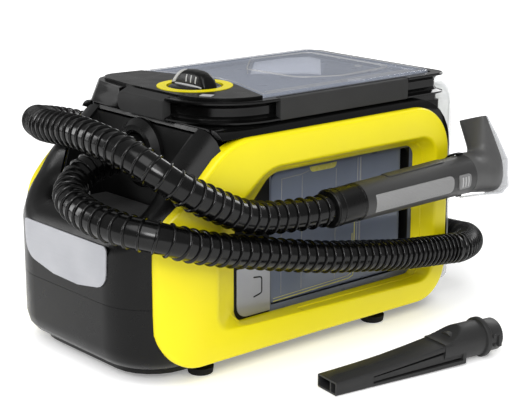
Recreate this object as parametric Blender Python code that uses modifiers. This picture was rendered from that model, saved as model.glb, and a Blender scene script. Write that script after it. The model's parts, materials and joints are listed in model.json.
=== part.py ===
"""Spot extractor: a compact cordless machine that sprays water on upholstery and sucks it back up.

The machine stands on four feet on z = 0, with +Y to its rear and +X to its right side. Its hose is wound
once round the body and ends in a hand wand that is clipped to the right side. A crevice tool lies beside it.
All sizes below are in millimetres and become metres where the meshes are made.
"""

import math

import bmesh
import bpy
from mathutils import Matrix, Vector

MM = 0.001
GAP = 0.3

# The row's origin is under the middle of the machine and its crevice tool together.
ORIGIN_X = 68.13
ORIGIN_Y = 5.72

# Body: half widths, front and rear faces, heights.
HALF_WIDTH = 119.5
FRONT_Y = -221.0
FRONT_CORNER_R = 58.0
FRONT_CORNER_Y = -163.0
BODY_BOTTOM = 7.0
HOUSING_BOTTOM = 14.0
SHOULDER_Z = 233.0
RIM_BOTTOM = 233.3
RIM_TOP = 255.0
FOOT_X = 96.0

# Black front shell: it lies this far inside the yellow side shells' outer face.
BLACK_INSET = 4.0
FRONT_SHELL_REAR = -122.0

# Yellow side shells.
SHELL_DEPTH = 14.0
WINDOW_DEPTH = 20.0
SHELL_WALL = 2.5
PANEL_CENTRE = (10.0, 115.0)
PANEL_RAYS = 64

# Rim round the top.
RIM_HALF = 108.0
RIM_FRONT = -128.0
RIM_REAR = 189.0
RIM_FRONT_R = 70.0
RIM_REAR_R = 16.0
RIM_NECK = 8.5
RIM_LIP = 2.4
RIM_INNER_HALF = 96.5
RIM_INNER_FRONT = -116.0
RIM_INNER_REAR = 177.0
SIDE_BAR_Y = (-46.0, 127.6)
FRONT_BAR_X = (-38.5, 35.0)
FRONT_BAR_Y = (-130.6, -120.8)

# The plain wall that takes the rim's place on the left. It leans outwards to its foot.
WALL_REAR_X = -99.0
WALL_CORNER = (-106.0, -113.0)
WALL_MEETS_FRONT_X = -42.0
WALL_LEAN = 8.0

# Hose, port and wand. The wand's sizes run along its own axis, which rises slightly to the rear.
HOSE_R = 16.0
PORT_Z = 197.0
CUFF_START = -17.0
WAND_SEAM = 20.0
WAND_X = 143.0
WAND_Z = 151.3
WAND_RISE = 0.023
WAND_LEVEL_Y = 80.0
COLLAR_Y = 175.0
COLLAR_R = 20.6
GRIP_ROLL = math.radians(-3)
NOZZLE_ROLL = math.radians(17.5)
NOZZLE_WALL = 1.8
TOP = math.radians(90)
TRIGGER_Y = (60.0, 142.0)
BUTTON_Y = (148.0, 165.5)
GRIP_Y = (31.0, 141.0)
HALF_TURN = Matrix.Rotation(math.pi, 3, "Z")
HOSE_STOPS = [
    (0, -146.5, PORT_Z), (0, -158, PORT_Z), (-3, -188, 190), (4, -212, 179), (22, -228, 172),
    (50, -234, 166), (80, -234, 162), (108, -228, 159), (128, -216, 156), (138, -198, 150),
    (139, -180, 143), (139, -146, 132.5), (139, -98, 120), (139, -23, 102), (139, 32, 92),
    (139, 86, 83), (139, 119, 79), (139, 158, 75), (139, 178, 73), (125, 209, 70), (101, 233, 66),
    (78, 243, 62), (0, 243, 60), (-78, 242, 66), (-108, 233, 72), (-132, 212, 80), (-141, 185, 90),
    (-141, 120, 115), (-141, 40, 146), (-141, -40, 175), (-140, -108, 199), (-136, -140, 208),
    (-123, -165, 214), (-104, -181, 219), (-80, -192, 222), (-56, -204, 225.5), (-32, -213, 229),
    (22, -217, 232), (77, -216, 227), (106, -212, 220), (127, -202, 208), (138, -180, 191),
    (139, -145, 172), (139, -122, 161), (139, -98, 154), (139.5, -74, 151), (142, -48, 149.5),
    (WAND_X, -30, WAND_Z - 110 * WAND_RISE), (WAND_X, CUFF_START - 0.5, WAND_Z - 97.5 * WAND_RISE),
]

# Battery bay, knob, inner parts.
BAY_INSET = 37.0
BAY_FLOOR = 98.5
BATTERY_HALF = 58.0
BATTERY_Y = (-171.0, -132.0)
TAB_Y = (-165.0, -150.0)
DECK_TOP = 257.5
PANEL_REAR = -58.0
PANEL_BOW = 30.0
KNOB_AT = (12.0, -73.0)
INDEX_AT = (64.0, -99.5)
INDEX_SIZE = (12.0, 9.0)
INDEX_TURN = math.radians(31)
KNOB_RING_R = 37.5
FLOAT_AT = (50.0, 85.0, 160.0)
CAP_AT = (-45.0, 205.6, 240.0)
CAP_R = 12.0
MOTOR_AT = (-45.0, -87.5)
PUMP_AT = (45.0, 165.0)

# Tanks.
DIRTY_HALF = 94.5
DIRTY_Y = (-50.0, 139.0)
DIRTY_Z = (45.8, 246.2)
FRESH_HALF = 85.5
FRESH_Y = (190.2, 221.0)
FRESH_Z = (14.3, 240.0)

# Crevice tool: its line on the floor, from tip to spigot.
TOOL_TIP = (211.0, -79.0)
TOOL_END = (240.0, 118.0)

YELLOW = (0.83, 0.76, 0.012)
BLACK = (0.012, 0.012, 0.013)
GRAPHITE = (0.045, 0.045, 0.047)
GREY = (0.27, 0.27, 0.28)
SMOKE = (0.10, 0.12, 0.16)
CLEAR = (0.85, 0.87, 0.88)
SILVER = (0.68, 0.68, 0.70)

COLLECTIONS = {}
MATERIALS = {}
PARTS = {}
PLACE = {}


# ---------------------------------------------------------------- scene helpers


def clear_scene():
    for obj in list(bpy.data.objects):
        bpy.data.objects.remove(obj, do_unlink=True)
    for name in ("spot_extractor", "cutters"):
        made = bpy.data.collections.new(name)
        bpy.context.scene.collection.children.link(made)
        COLLECTIONS[name] = made
    root = bpy.data.objects.new("machine_frame", None)
    root.location = (-ORIGIN_X * MM, -ORIGIN_Y * MM, 0)
    COLLECTIONS["spot_extractor"].objects.link(root)
    PLACE["root"] = root
    PLACE["frame"] = root


def local_frame(name, at, turn):
    """An empty that carries the parts made after it, with its own place and turn."""
    frame = bpy.data.objects.new(name, None)
    frame.location = metres(at)
    frame.rotation_euler = turn.to_euler()
    frame.parent = PLACE["root"]
    COLLECTIONS["spot_extractor"].objects.link(frame)
    PLACE["frame"] = frame
    return frame


def material(name, colour, roughness, metallic=0.0, alpha=1.0):
    if name not in MATERIALS:
        made = bpy.data.materials.new(name)
        made.use_nodes = True
        shader = made.node_tree.nodes["Principled BSDF"]
        shader.inputs["Base Color"].default_value = (*colour, 1)
        shader.inputs["Roughness"].default_value = roughness
        shader.inputs["Metallic"].default_value = metallic
        shader.inputs["Alpha"].default_value = alpha
        MATERIALS[name] = made
    return MATERIALS[name]


def add_object(name, data, finish):
    obj = bpy.data.objects.new(name, data)
    COLLECTIONS["spot_extractor"].objects.link(obj)
    obj.parent = PLACE["frame"]
    if finish is not None:
        data.materials.append(finish)
    PARTS[name] = obj
    return obj


def mesh_object(name, bm, finish, smooth=35):
    bmesh.ops.recalc_face_normals(bm, faces=bm.faces)
    if bm.calc_volume(signed=True) < 0:
        bmesh.ops.reverse_faces(bm, faces=bm.faces)
    data = bpy.data.meshes.new(name)
    bm.to_mesh(data)
    bm.free()
    data.shade_smooth()
    data.set_sharp_from_angle(angle=math.radians(smooth))
    return add_object(name, data, finish)


def metres(point):
    return Vector(point) * MM


def as_cutter(obj):
    COLLECTIONS["spot_extractor"].objects.unlink(obj)
    COLLECTIONS["cutters"].objects.link(obj)
    obj.hide_render = True
    obj.display_type = "WIRE"
    PARTS.pop(obj.name)
    return obj


def boolean(target, tool, operation="DIFFERENCE"):
    """Cuts target with tool, joins them, or keeps what they share. The tool stays as a hidden cutter."""
    modifier = target.modifiers.new(f"{operation.lower()}_{tool.name}"[:60], "BOOLEAN")
    modifier.operation = operation
    modifier.object = tool
    if tool.name in PARTS:
        as_cutter(tool)
    return target


def bevel(obj, width, segments=2, angle=40):
    modifier = obj.modifiers.new("rounded_edges", "BEVEL")
    modifier.width = width * MM
    modifier.segments = segments
    modifier.limit_method = "ANGLE"
    modifier.angle_limit = math.radians(angle)
    return obj


# ---------------------------------------------------------------- shape helpers


def block(name, low, high, finish=None, edge=0.0, segments=2):
    """A box between two corners, with rounded edges where edge is given."""
    bm = bmesh.new()
    bmesh.ops.create_cube(bm, size=1)
    size = metres(high) - metres(low)
    middle = (metres(high) + metres(low)) / 2
    bmesh.ops.scale(bm, vec=size, verts=bm.verts)
    bmesh.ops.translate(bm, vec=middle, verts=bm.verts)
    obj = mesh_object(name, bm, finish)
    return bevel(obj, edge, segments) if edge else obj


def rounded(corners, step=18):
    """An outline from (x, y, radius) corners, each turned into an arc of about step degrees a piece."""
    points = []
    count = len(corners)
    for i, (x, y, radius) in enumerate(corners):
        here = Vector((x, y))
        back = (Vector(corners[i - 1][:2]) - here).normalized()
        ahead = (Vector(corners[(i + 1) % count][:2]) - here).normalized()
        if radius <= 0:
            points.append((x, y))
            continue
        half = back.angle(ahead) / 2
        centre = here + (back + ahead).normalized() * (radius / math.sin(half))
        first = here + back * (radius / math.tan(half)) - centre
        last = here + ahead * (radius / math.tan(half)) - centre
        turn = first.angle_signed(last)
        pieces = max(1, round(abs(math.degrees(turn)) / step))
        for k in range(pieces + 1):
            arm = first.copy()
            arm.rotate(Matrix.Rotation(-turn * k / pieces, 2))
            points.append(tuple(centre + arm))
    return points


def rounded_box(x0, y0, x1, y1, radius, step=18):
    return rounded([(x0, y0, radius), (x1, y0, radius), (x1, y1, radius), (x0, y1, radius)], step)


AXIS_TURN = {
    "X": Matrix(((0, 0, 1), (1, 0, 0), (0, 1, 0))),
    "Y": Matrix(((1, 0, 0), (0, 0, -1), (0, 1, 0))),
    "Z": Matrix.Identity(3),
}


def prism(name, outlines, axis, low, high, finish=None, edge=0.0, segments=2):
    """Flat outlines, the first filled and the others holes, made solid between low and high along an axis.

    The outlines' two numbers are Y and Z for axis X, X and Z for axis Y, and X and Y for axis Z."""
    data = bpy.data.curves.new(name + "_outline", "CURVE")
    data.dimensions = "2D"
    data.fill_mode = "BOTH"
    data.extrude = (high - low) / 2 * MM
    for outline in outlines:
        spline = data.splines.new("POLY")
        spline.points.add(len(outline) - 1)
        for slot, (u, v) in zip(spline.points, outline):
            slot.co = (u * MM, v * MM, 0, 1)
        spline.use_cyclic_u = True
    curve = bpy.data.objects.new(name + "_outline", data)
    COLLECTIONS["cutters"].objects.link(curve)
    bpy.context.view_layer.update()
    graph = bpy.context.evaluated_depsgraph_get()
    solid = bpy.data.meshes.new_from_object(curve.evaluated_get(graph))
    bpy.data.objects.remove(curve, do_unlink=True)
    bm = bmesh.new()
    bm.from_mesh(solid)
    bpy.data.meshes.remove(solid)
    bmesh.ops.remove_doubles(bm, verts=bm.verts, dist=1e-6)
    along = {"X": (1, 0, 0), "Y": (0, 1, 0), "Z": (0, 0, 1)}[axis]
    place = AXIS_TURN[axis].to_4x4()
    place.translation = Vector(along) * ((low + high) / 2 * MM)
    bm.transform(place)
    obj = mesh_object(name, bm, finish)
    return bevel(obj, edge, segments) if edge else obj


def loft(name, rings, finish=None, loop=False, smooth=35):
    """A skin over rings of equally many points. A loop joins the last ring to the first, else both are capped."""
    bm = bmesh.new()
    rows = [[bm.verts.new(metres(point)) for point in ring] for ring in rings]
    pairs = list(zip(rows, rows[1:]))
    if loop:
        pairs.append((rows[-1], rows[0]))
    count = len(rows[0])
    for near, far in pairs:
        for i in range(count):
            j = (i + 1) % count
            bm.faces.new((near[i], near[j], far[j], far[i]))
    if not loop:
        bm.faces.new(rows[0])
        bm.faces.new(rows[-1])
    return mesh_object(name, bm, finish, smooth)


def turned(name, profile, finish=None, at=(0, 0, 0), axis="Z", steps=32, closed=True, tilt=None):
    """A shape of revolution. The profile's (radius, height) points run down the outer side."""
    data = bpy.data.meshes.new(name)
    points = [(r * MM, 0, h * MM) for r, h in profile]
    edges = [(i, i + 1) for i in range(len(points) - 1)]
    if closed:
        edges.append((len(points) - 1, 0))
    data.from_pydata(points, edges, [])
    obj = add_object(name, data, finish)
    screw = obj.modifiers.new("turn", "SCREW")
    screw.steps = steps
    screw.render_steps = steps
    screw.use_merge_vertices = True
    screw.merge_threshold = 1e-5
    screw.use_smooth_shade = False
    turn = {"Z": Matrix.Identity(3), "Y": Matrix.Rotation(math.radians(-90), 3, "X"),
            "X": Matrix.Rotation(math.radians(90), 3, "Y")}[axis]
    if tilt is not None:
        turn = tilt @ turn
    obj.location = metres(at)
    obj.rotation_euler = turn.to_euler()
    return obj


def tube(name, points, radius, finish, resolution=2):
    """A round tube with filled caps along a list of points."""
    data = bpy.data.curves.new(name, "CURVE")
    data.dimensions = "3D"
    data.bevel_depth = radius * MM
    data.bevel_resolution = resolution
    data.use_fill_caps = True
    spline = data.splines.new("POLY")
    spline.points.add(len(points) - 1)
    for slot, point in zip(spline.points, points):
        slot.co = (*metres(point), 1)
    return add_object(name, data, finish)


def smooth_route(stops, spacing):
    """Points about spacing apart on a Catmull-Rom curve through the stops."""
    knots = [Vector(stop) for stop in stops]
    knots = [2 * knots[0] - knots[1], *knots, 2 * knots[-1] - knots[-2]]
    dense = []
    for a, b, c, d in zip(knots, knots[1:], knots[2:], knots[3:]):
        for k in range(24):
            t = k / 24
            dense.append(0.5 * (2 * b + (c - a) * t + (2 * a - 5 * b + 4 * c - d) * t**2
                                + (3 * b - a - 3 * c + d) * t**3))
    dense.append(knots[-2])
    lengths = [0.0]
    for a, b in zip(dense, dense[1:]):
        lengths.append(lengths[-1] + (b - a).length)
    pieces = round(lengths[-1] / spacing)
    points = []
    at = 0
    for k in range(pieces + 1):
        want = lengths[-1] * k / pieces
        while at < len(dense) - 2 and lengths[at + 1] < want:
            at += 1
        share = (want - lengths[at]) / (lengths[at + 1] - lengths[at])
        points.append(tuple(dense[at].lerp(dense[at + 1], share)))
    return points


# ---------------------------------------------------------------- body outlines


def nose_plan(inset, rear):
    """The front shell's outline seen from above, moved inwards by inset."""
    half = HALF_WIDTH - BLACK_INSET - inset
    front = FRONT_Y + inset
    radius = FRONT_CORNER_R - inset
    corner = 0.4
    right = [(half, front, radius), (half, rear, corner)]
    left = [(-half, rear, corner), (-half, front, radius)]
    return rounded(right + left, 10)


def panel_outline(grow):
    """The yellow shell's outline in Y and Z, moved outwards by grow."""
    return [
        (-196.7 - grow, 15 - grow, 44 + grow),
        (180.4 + grow, 15 - grow, 40 + grow),
        (180.4 + grow, 224.8 + grow, 50 + grow),
        (-115 - grow * 0.35, 224.8 + grow, 68 + grow),
        (-196.7 - grow, 149.8 + grow * 0.35, 45 + grow),
    ]


WINDOW_OUTER = [(-133, 45, 16), (161, 37, 22), (161, 193.7, 22), (-70, 193.7, 45), (-133, 141, 35)]
WINDOW_FLOOR = [(-97, 42, 9), (147, 42, 9), (147, 182, 12), (-50, 182, 28), (-97, 132, 22)]


def ray_outline(corners, rays):
    """Where rays from the panel's centre meet an outline."""
    ring = [Vector(point) for point in rounded(corners, 4)]
    centre = Vector(PANEL_CENTRE)
    found = []
    for k in range(rays):
        angle = 2 * math.pi * k / rays
        way = Vector((math.cos(angle), math.sin(angle)))
        side = Vector((-way.y, way.x))
        best = 0.0
        for a, b in zip(ring, ring[1:] + ring[:1]):
            from_a = (a - centre).dot(side)
            from_b = (b - centre).dot(side)
            if from_a * from_b > 0 or from_a == from_b:
                continue
            hit = a.lerp(b, from_a / (from_a - from_b)) - centre
            best = max(best, hit.dot(way))
        found.append(centre + way * best)
    return found


def nose_wrap(y):
    """How far the side shell's face curves inwards where it meets the rounded nose."""
    into = min(0.0, y - FRONT_CORNER_Y)
    return FRONT_CORNER_R - math.sqrt(FRONT_CORNER_R**2 - min(into**2, 0.6 * FRONT_CORNER_R**2))


# ---------------------------------------------------------------- body


def side_shell(side):
    """The yellow shell: a face with a rounded rim, sloped walls down to the window, and its own back."""
    name = "side_shell_right" if side > 0 else "side_shell_left"
    outer = ray_outline(panel_outline(0), PANEL_RAYS)
    window = ray_outline(WINDOW_OUTER, PANEL_RAYS)
    floor = ray_outline(WINDOW_FLOOR, PANEL_RAYS)
    face = HALF_WIDTH
    back = HALF_WIDTH - WINDOW_DEPTH - 1.2
    edge = 4.0
    rows = []
    for out, win, low in zip(outer, window, floor):
        across = out - win
        reach = across.length
        way = across.normalized()
        section = [(low, back), (low, back + 1.0), (win, face)]
        section.append((win + way * reach * 0.5, face))
        section.append((out - way * edge, face))
        section.append((out - way * edge * 0.3, face - edge * 0.3))
        section.append((out, face - edge))
        section.append((out, face - SHELL_DEPTH))
        section.append((out - way * SHELL_WALL, face - SHELL_DEPTH))
        section.append((out - way * SHELL_WALL, face - edge - SHELL_WALL))
        section.append((win + way * SHELL_WALL, face - SHELL_WALL))
        section.append((low + way * SHELL_WALL, back))
        rows.append([(side * (x - nose_wrap(p.x)), p.x, p.y) for p, x in section])
    return loft(name, rows, material("yellow_shell", YELLOW, 0.35), loop=True, smooth=25)


def shell_seat(side):
    """A cutter in the side shell's shape, a little larger, that clears the black nose for it."""
    name = "shell_seat_right" if side > 0 else "shell_seat_left"
    if name not in bpy.data.objects:
        edge = ray_outline(panel_outline(0.4), PANEL_RAYS)
        low = HALF_WIDTH - SHELL_DEPTH - 0.4
        centre = Vector(PANEL_CENTRE)
        rings = []
        for share, x in ((0.5, low), (1, low), (1, low + 40), (0.5, low + 40)):
            spots = [centre + (p - centre) * share for p in edge]
            rings.append([(side * (x - nose_wrap(p.x)), p.x, p.y) for p in spots])
        as_cutter(loft(name, rings))
    return bpy.data.objects[name]


def clear_for_shells(obj):
    for side in (-1, 1):
        boolean(obj, shell_seat(side))
    return obj


def arch(side):
    """The black strip that follows the yellow shell over its top and down its rear corner."""
    name = "shoulder_strip_right" if side > 0 else "shoulder_strip_left"
    inner = [point for point in rounded(panel_outline(GAP), 12) if point[0] > -88]
    lower = sorted((p for p in inner if p[0] > 120 and p[1] > 60), key=lambda p: p[1])
    upper = sorted((p for p in inner if p[0] <= 120 and p[1] > 60), key=lambda p: -p[0])
    outer = rounded([(184.4, 60, 0), (184.4, SHOULDER_Z, 52), (-121.6, SHOULDER_Z, 0)], 12)
    path = outer + [(-121.6, 225.1)] + upper[::-1] + lower[::-1]
    low, high = sorted((side * 98.0, side * 115.5))
    obj = prism(name, [path], "X", low, high, material("gloss_black", BLACK, 0.12))
    roof = rounded([(-115.5, 10, 0), (115.5, 10, 0), (115.5, SHOULDER_Z, 14), (-115.5, SHOULDER_Z, 14)], 15)
    boolean(obj, prism(name + "_roof", [roof], "Y", -130, 200), "INTERSECT")
    return bevel(obj, 1.5, 2, 60)


def base_pan():
    black = material("satin_black", BLACK, 0.4)
    half, ledge = 96, 80
    outline = rounded([(half, -202, 44), (half, 184, 8), (ledge, 184, 1), (ledge, 195, 6), (-ledge, 195, 6),
                       (-ledge, 184, 1), (-half, 184, 8), (-half, -202, 44)], 15)
    return prism("base_pan", [outline], "Z", BODY_BOTTOM, HOUSING_BOTTOM - GAP, black, 2.0, 2)


def front_lower_cover():
    """The lower half of the nose: a ring of wall with a rounded foot."""
    rear = FRONT_SHELL_REAR
    levels = [(76.7, 0), (34, 0), (24, 2.5), (17.5, 8), (14.2, 15), (14.2, 18), (19.5, 12), (27, 5.5),
              (36, 3), (76.7, 3)]
    rings = [[(x, y, z) for x, y in nose_plan(inset, rear - inset * 0.2)] for z, inset in levels]
    return clear_for_shells(loft("front_lower_cover", rings, material("satin_black", BLACK, 0.4), loop=True))


def nose_tops():
    """The shoulder line's height at each point of the nose's outline: low at the front lip, high at the rim."""
    stops = [(FRONT_Y, 150), (-200, 166), (-183, 178), (-167, 194), (-150, 209), (-129, 225), (-121, 232.7)]
    heights = []
    for _, y in nose_plan(0, FRONT_SHELL_REAR):
        for (ya, za), (yb, zb) in zip(stops, stops[1:]):
            if y <= yb:
                heights.append(za + (zb - za) * (y - ya) / (yb - ya))
                break
    return heights


def nose_ring(inset, rear, heights):
    return [(x, y, z) for (x, y), z in zip(nose_plan(inset, rear), heights)]


def front_upper_cover():
    """The upper half of the nose: its shoulders rise to the rim, with the open battery bay between them."""
    rear = FRONT_SHELL_REAR
    tops = nose_tops()
    rings = [nose_ring(0, rear, [77.0] * len(tops))]
    for down, inset in ((26, 0), (16, 3), (8, 9), (2.5, 18), (0, 28), (0, BAY_INSET - 1)):
        rings.append(nose_ring(inset, rear - 0.02 * inset, [z - down for z in tops]))
    for down, inset in ((5, BAY_INSET - 0.8), (3.3, 28), (5.8, 18.5), (10.5, 11), (18, 6), (28, 3)):
        rings.append(nose_ring(inset, rear - 3, [z - down for z in tops]))
    rings.append(nose_ring(3, rear - 3, [77.0] * len(tops)))
    obj = loft("front_upper_cover", rings, material("satin_black", BLACK, 0.4), loop=True)
    clear_for_shells(obj)
    boolean(obj, port_hole())
    return obj


def port_hole():
    if "port_hole" not in bpy.data.objects:
        profile = [(0, 22), (20, 22), (20, 0), (0, 0)]
        as_cutter(turned("port_hole", profile, at=(0, -136, PORT_Z), axis="Y", closed=False))
    return bpy.data.objects["port_hole"]


def bay_liner():
    """The tray in the nose that holds the battery, open to the top."""
    rear = FRONT_SHELL_REAR - 3.4
    tops = nose_tops()
    rings = [nose_ring(BAY_INSET + 6, rear, [BAY_FLOOR - 2.5] * len(tops))]
    rings.append(nose_ring(BAY_INSET, rear, [z - 5 for z in tops]))
    rings.append(nose_ring(BAY_INSET + 2.4, rear - 2.4, [z - 5 for z in tops]))
    rings.append(nose_ring(BAY_INSET + 8.4, rear - 2.4, [BAY_FLOOR] * len(tops)))
    obj = loft("bay_liner", rings, material("dark_plastic", (0.02, 0.02, 0.021), 0.55))
    boolean(obj, port_hole())
    return obj


def badge_plate():
    """The blank silver plate on the nose. It follows the nose's curve."""
    skin = [nose_plan(-1.5, FRONT_SHELL_REAR), nose_plan(-0.3, FRONT_SHELL_REAR - 1)]
    obj = prism("badge_plate", skin, "Z", 80, 140, material("silver", SILVER, 0.3, 0.9))
    face = [(-72, 134, 6), (-70, 98, 22), (0, 84, 120), (66, 94, 16), (68, 134, 5)]
    boolean(obj, prism("badge_face", [rounded(face)], "Y", -240, -180), "INTERSECT")
    return obj


def main_housing():
    """The inner body that the covers and tanks are fixed to. The tank shows through its two side openings."""
    walls = [rounded_box(-97.7, -121.7, 97.7, 187.4, 4), rounded_box(-95, -119, 95, 184.7, 2)]
    obj = prism("main_housing", walls, "Z", HOUSING_BOTTOM, 224.9, material("dark_plastic", BLACK, 0.5))
    opening = [(-49, 48, 6), (141, 48, 6), (141, 180, 8), (-49, 180, 8)]
    boolean(obj, prism("side_openings", [rounded(opening)], "X", -110, 110))
    boolean(obj, port_hole())
    return obj


def inner_walls():
    dark = material("dark_plastic", BLACK, 0.5)
    block("rear_bulkhead", (-94.7, 142, HOUSING_BOTTOM), (94.7, 144.5, 224.9), dark)
    block("tank_shelf", (-94.7, -53.2, 41), (94.7, 141.7, 45.4), dark)


def deck_plate():
    """The shelf round the tank's mouth that the rim stands on."""
    plan = [rounded_box(-97.7, -121.7, 97.7, 184.2, 6), rounded_box(-95.2, -51, 95.2, 140, 6)]
    return prism("deck_plate", plan, "Z", 225.2, SHOULDER_Z - 0.1, material("gloss_black", BLACK, 0.12))


def rim_plan(inset, lean=0.0):
    """The rim's outline. Its right side moves inwards by inset, and its plain left wall outwards by lean."""
    half = RIM_HALF - inset
    low, high = RIM_FRONT + inset, RIM_REAR - inset
    corners = [(half, low, RIM_FRONT_R - inset), (half, high, RIM_REAR_R - inset)]
    right = rounded(corners + [(-60, high, 0), (-60, low, 0)], 10)[:-1]
    x, y = WALL_CORNER
    left = rounded([(0, RIM_REAR, 0), (WALL_REAR_X - lean, RIM_REAR, 14), (WALL_REAR_X - lean, -50, 80),
                    (x - lean, y - lean, 24), (WALL_MEETS_FRONT_X, RIM_FRONT + 0.5, 50),
                    (0, RIM_FRONT + 0.5, 0)], 22)
    return right + left[1:-1]


def rim_inside(shrink=0.0):
    """The rim's inner outline, moved inwards by shrink."""
    half = RIM_INNER_HALF - shrink
    low, high = RIM_INNER_FRONT + shrink, RIM_INNER_REAR - shrink
    corners = [(half, low, 56 - shrink), (half, high, 7 - shrink)]
    right = rounded(corners + [(-60, high, 0), (-60, low, 0)], 10)[:-1]
    x, y = WALL_CORNER
    left = rounded([(0, high, 0), (-half, high, 7 - shrink), (-half, -50, 80),
                    (x + 3.5 + shrink, y + 4 + shrink, 20),
                    (WALL_MEETS_FRONT_X, low - 1, 50), (0, low - 1, 0)], 22)
    return right + left[1:-1]


def rim_frame():
    """The frame round the top. On its right, front and rear, two lips and a deep channel form a grip."""
    lip = RIM_LIP
    levels = [(RIM_BOTTOM, 2), (RIM_BOTTOM + 0.8, 0), (RIM_BOTTOM + lip, 0), (RIM_BOTTOM + 4, RIM_NECK * 0.7)]
    levels += [(RIM_BOTTOM + 7, RIM_NECK), (RIM_TOP - 7, RIM_NECK), (RIM_TOP - 4, RIM_NECK * 0.7)]
    levels += [(RIM_TOP - lip, 0), (RIM_TOP - 0.8, 0), (RIM_TOP, 1)]
    rings = []
    for z, inset in levels:
        lean = WALL_LEAN * (RIM_TOP - z) / (RIM_TOP - RIM_BOTTOM)
        rings.append([(x, y, z) for x, y in rim_plan(inset, lean)])
    rings.append([(x, y, RIM_TOP) for x, y in rim_inside()])
    rings.append([(x, y, RIM_BOTTOM) for x, y in rim_inside()])
    obj = loft("rim_frame", rings, material("gloss_black", BLACK, 0.12), loop=True)
    low, high = SIDE_BAR_Y
    boolean(obj, block("bar_seat_right", (100.5, low - GAP, 230), (112, high + GAP, 260)))
    left, right = FRONT_BAR_X
    seat = rounded_box(left - GAP, 228, right + GAP, 262, 4)
    boolean(obj, prism("front_bar_seat", [seat], "Y", FRONT_BAR_Y[0] - 6, FRONT_BAR_Y[1] + GAP))
    return obj


def rim_bars():
    matt = material("matt_graphite", GRAPHITE, 0.75)
    low, high = SIDE_BAR_Y
    block("side_bar_right", (100.8, low, RIM_BOTTOM + 0.2), (108.4, high, RIM_TOP - 0.2), matt, 1.2)
    left, right = FRONT_BAR_X
    top = RIM_TOP + 1.5
    face = rounded([(left, RIM_BOTTOM, 8), (right, RIM_BOTTOM, 2), (right, top, 2), (left, top, 8)])
    prism("front_bar", [face], "Y", *FRONT_BAR_Y, matt, 1.5)


def lid_edge(shift, half):
    """The line, bowed to the rear, between the control panel and the tank's lid."""
    return [(half, PANEL_REAR + shift, 0), (0, PANEL_REAR + PANEL_BOW + shift, 100),
            (-half, PANEL_REAR + shift, 0)]


def control_panel():
    half = RIM_INNER_HALF - GAP
    front = RIM_INNER_FRONT + GAP
    x, y = WALL_CORNER
    outline = rounded([(x + 3.8, y + 4.3, 19.7), (WALL_MEETS_FRONT_X, front - 1, 30), (half - 57, front, 0),
                       (half, front, 55.7), *lid_edge(0, half)], 10)
    black = material("satin_black", BLACK, 0.4)
    obj = prism("control_panel", [outline], "Z", RIM_BOTTOM, DECK_TOP, black, 2.0, 2)
    inner = half - 3
    hollow = rounded([(x + 7, y + 7.5, 17), (WALL_MEETS_FRONT_X, front + 2, 30), (inner, front + 3, 49),
                      *lid_edge(-3, inner)], 8)
    boolean(obj, prism("panel_hollow", [hollow], "Z", RIM_BOTTOM - 5, DECK_TOP - 5.5))
    boolean(obj, block("tank_clearance", (-98, -51.5, 230), (98, -15, 249)))
    dish = [(0, 10), (KNOB_RING_R + 0.4, 10), (KNOB_RING_R + 0.4, -2.6), (14, -2.6), (14, -30), (0, -30)]
    boolean(obj, turned("knob_dish", dish, at=(*KNOB_AT, DECK_TOP), closed=False, steps=40))
    return obj


def knob():
    """The mode knob: a round foot with a tall grip bar across it."""
    profile = [(0, 1.5), (23, 1.5), (26, 0.2), (26, -2.2), (9, -2.2), (9, -14), (0, -14)]
    obj = turned("mode_knob", profile, material("satin_black", BLACK, 0.4), at=(*KNOB_AT, DECK_TOP),
                 closed=False, steps=40)
    grip = rounded([(-27, -1, 2), (25, -1, 2), (22, 15, 9), (-14, 17, 14)], 20)
    x, y = KNOB_AT
    bar = prism("knob_grip", [[(x + u, DECK_TOP + v) for u, v in grip]], "Y", y - 9, y + 9)
    bevel(bar, 3.5, 2)
    boolean(obj, bar, "UNION")
    return obj


def knob_marks():
    ring = [(28, 0.6), (KNOB_RING_R, 0.6), (KNOB_RING_R, -2.2), (28, -2.2)]
    turned("knob_ring", ring, material("yellow_mark", YELLOW, 0.4), at=(*KNOB_AT, DECK_TOP), steps=48)


def index_mark():
    """The pale mark that the knob is read against, turned to follow the panel's rounded corner."""
    middle = Vector(INDEX_AT)
    turn = Matrix.Rotation(INDEX_TURN, 2)
    long, wide = INDEX_SIZE[0] / 2, INDEX_SIZE[1] / 2
    corners = [(-long, -wide), (long, -wide), (long, wide), (-long, wide)]
    outline = [tuple(middle + turn @ Vector(corner)) for corner in corners]
    grey = material("light_grey", (0.55, 0.55, 0.56), 0.45)
    prism("index_mark", [outline], "Z", DECK_TOP + GAP, DECK_TOP + 0.9, grey)


def mode_switch():
    x, y = KNOB_AT
    dark = material("dark_plastic", BLACK, 0.5)
    block("mode_switch", (x - 11, y - 11, 233.3), (x + 11, y + 11, 241), dark, 1.0)


def tank_lid():
    """The dirty tank's see-through lid. It fills the rest of the rim, with a skirt down to the tank."""
    half = RIM_INNER_HALF - GAP
    rear = RIM_INNER_REAR - GAP
    smoke = material("smoke_clear", SMOKE, 0.08, 0.0, 0.45)
    outline = rounded([*lid_edge(0.5, half)[::-1], (half, rear, 6.7), (-half, rear, 6.7)], 8)
    obj = prism("tank_lid", [outline[::-1]], "Z", 246.6, DECK_TOP, smoke, 2.0, 2)
    inner = half - 2.6
    hollow = rounded([*lid_edge(3.2, inner)[::-1], (inner, rear - 2.6, 5), (-inner, rear - 2.6, 5)], 8)
    boolean(obj, prism("lid_hollow", [hollow[::-1]], "Z", 240, DECK_TOP - 3.2))
    return obj


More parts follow.
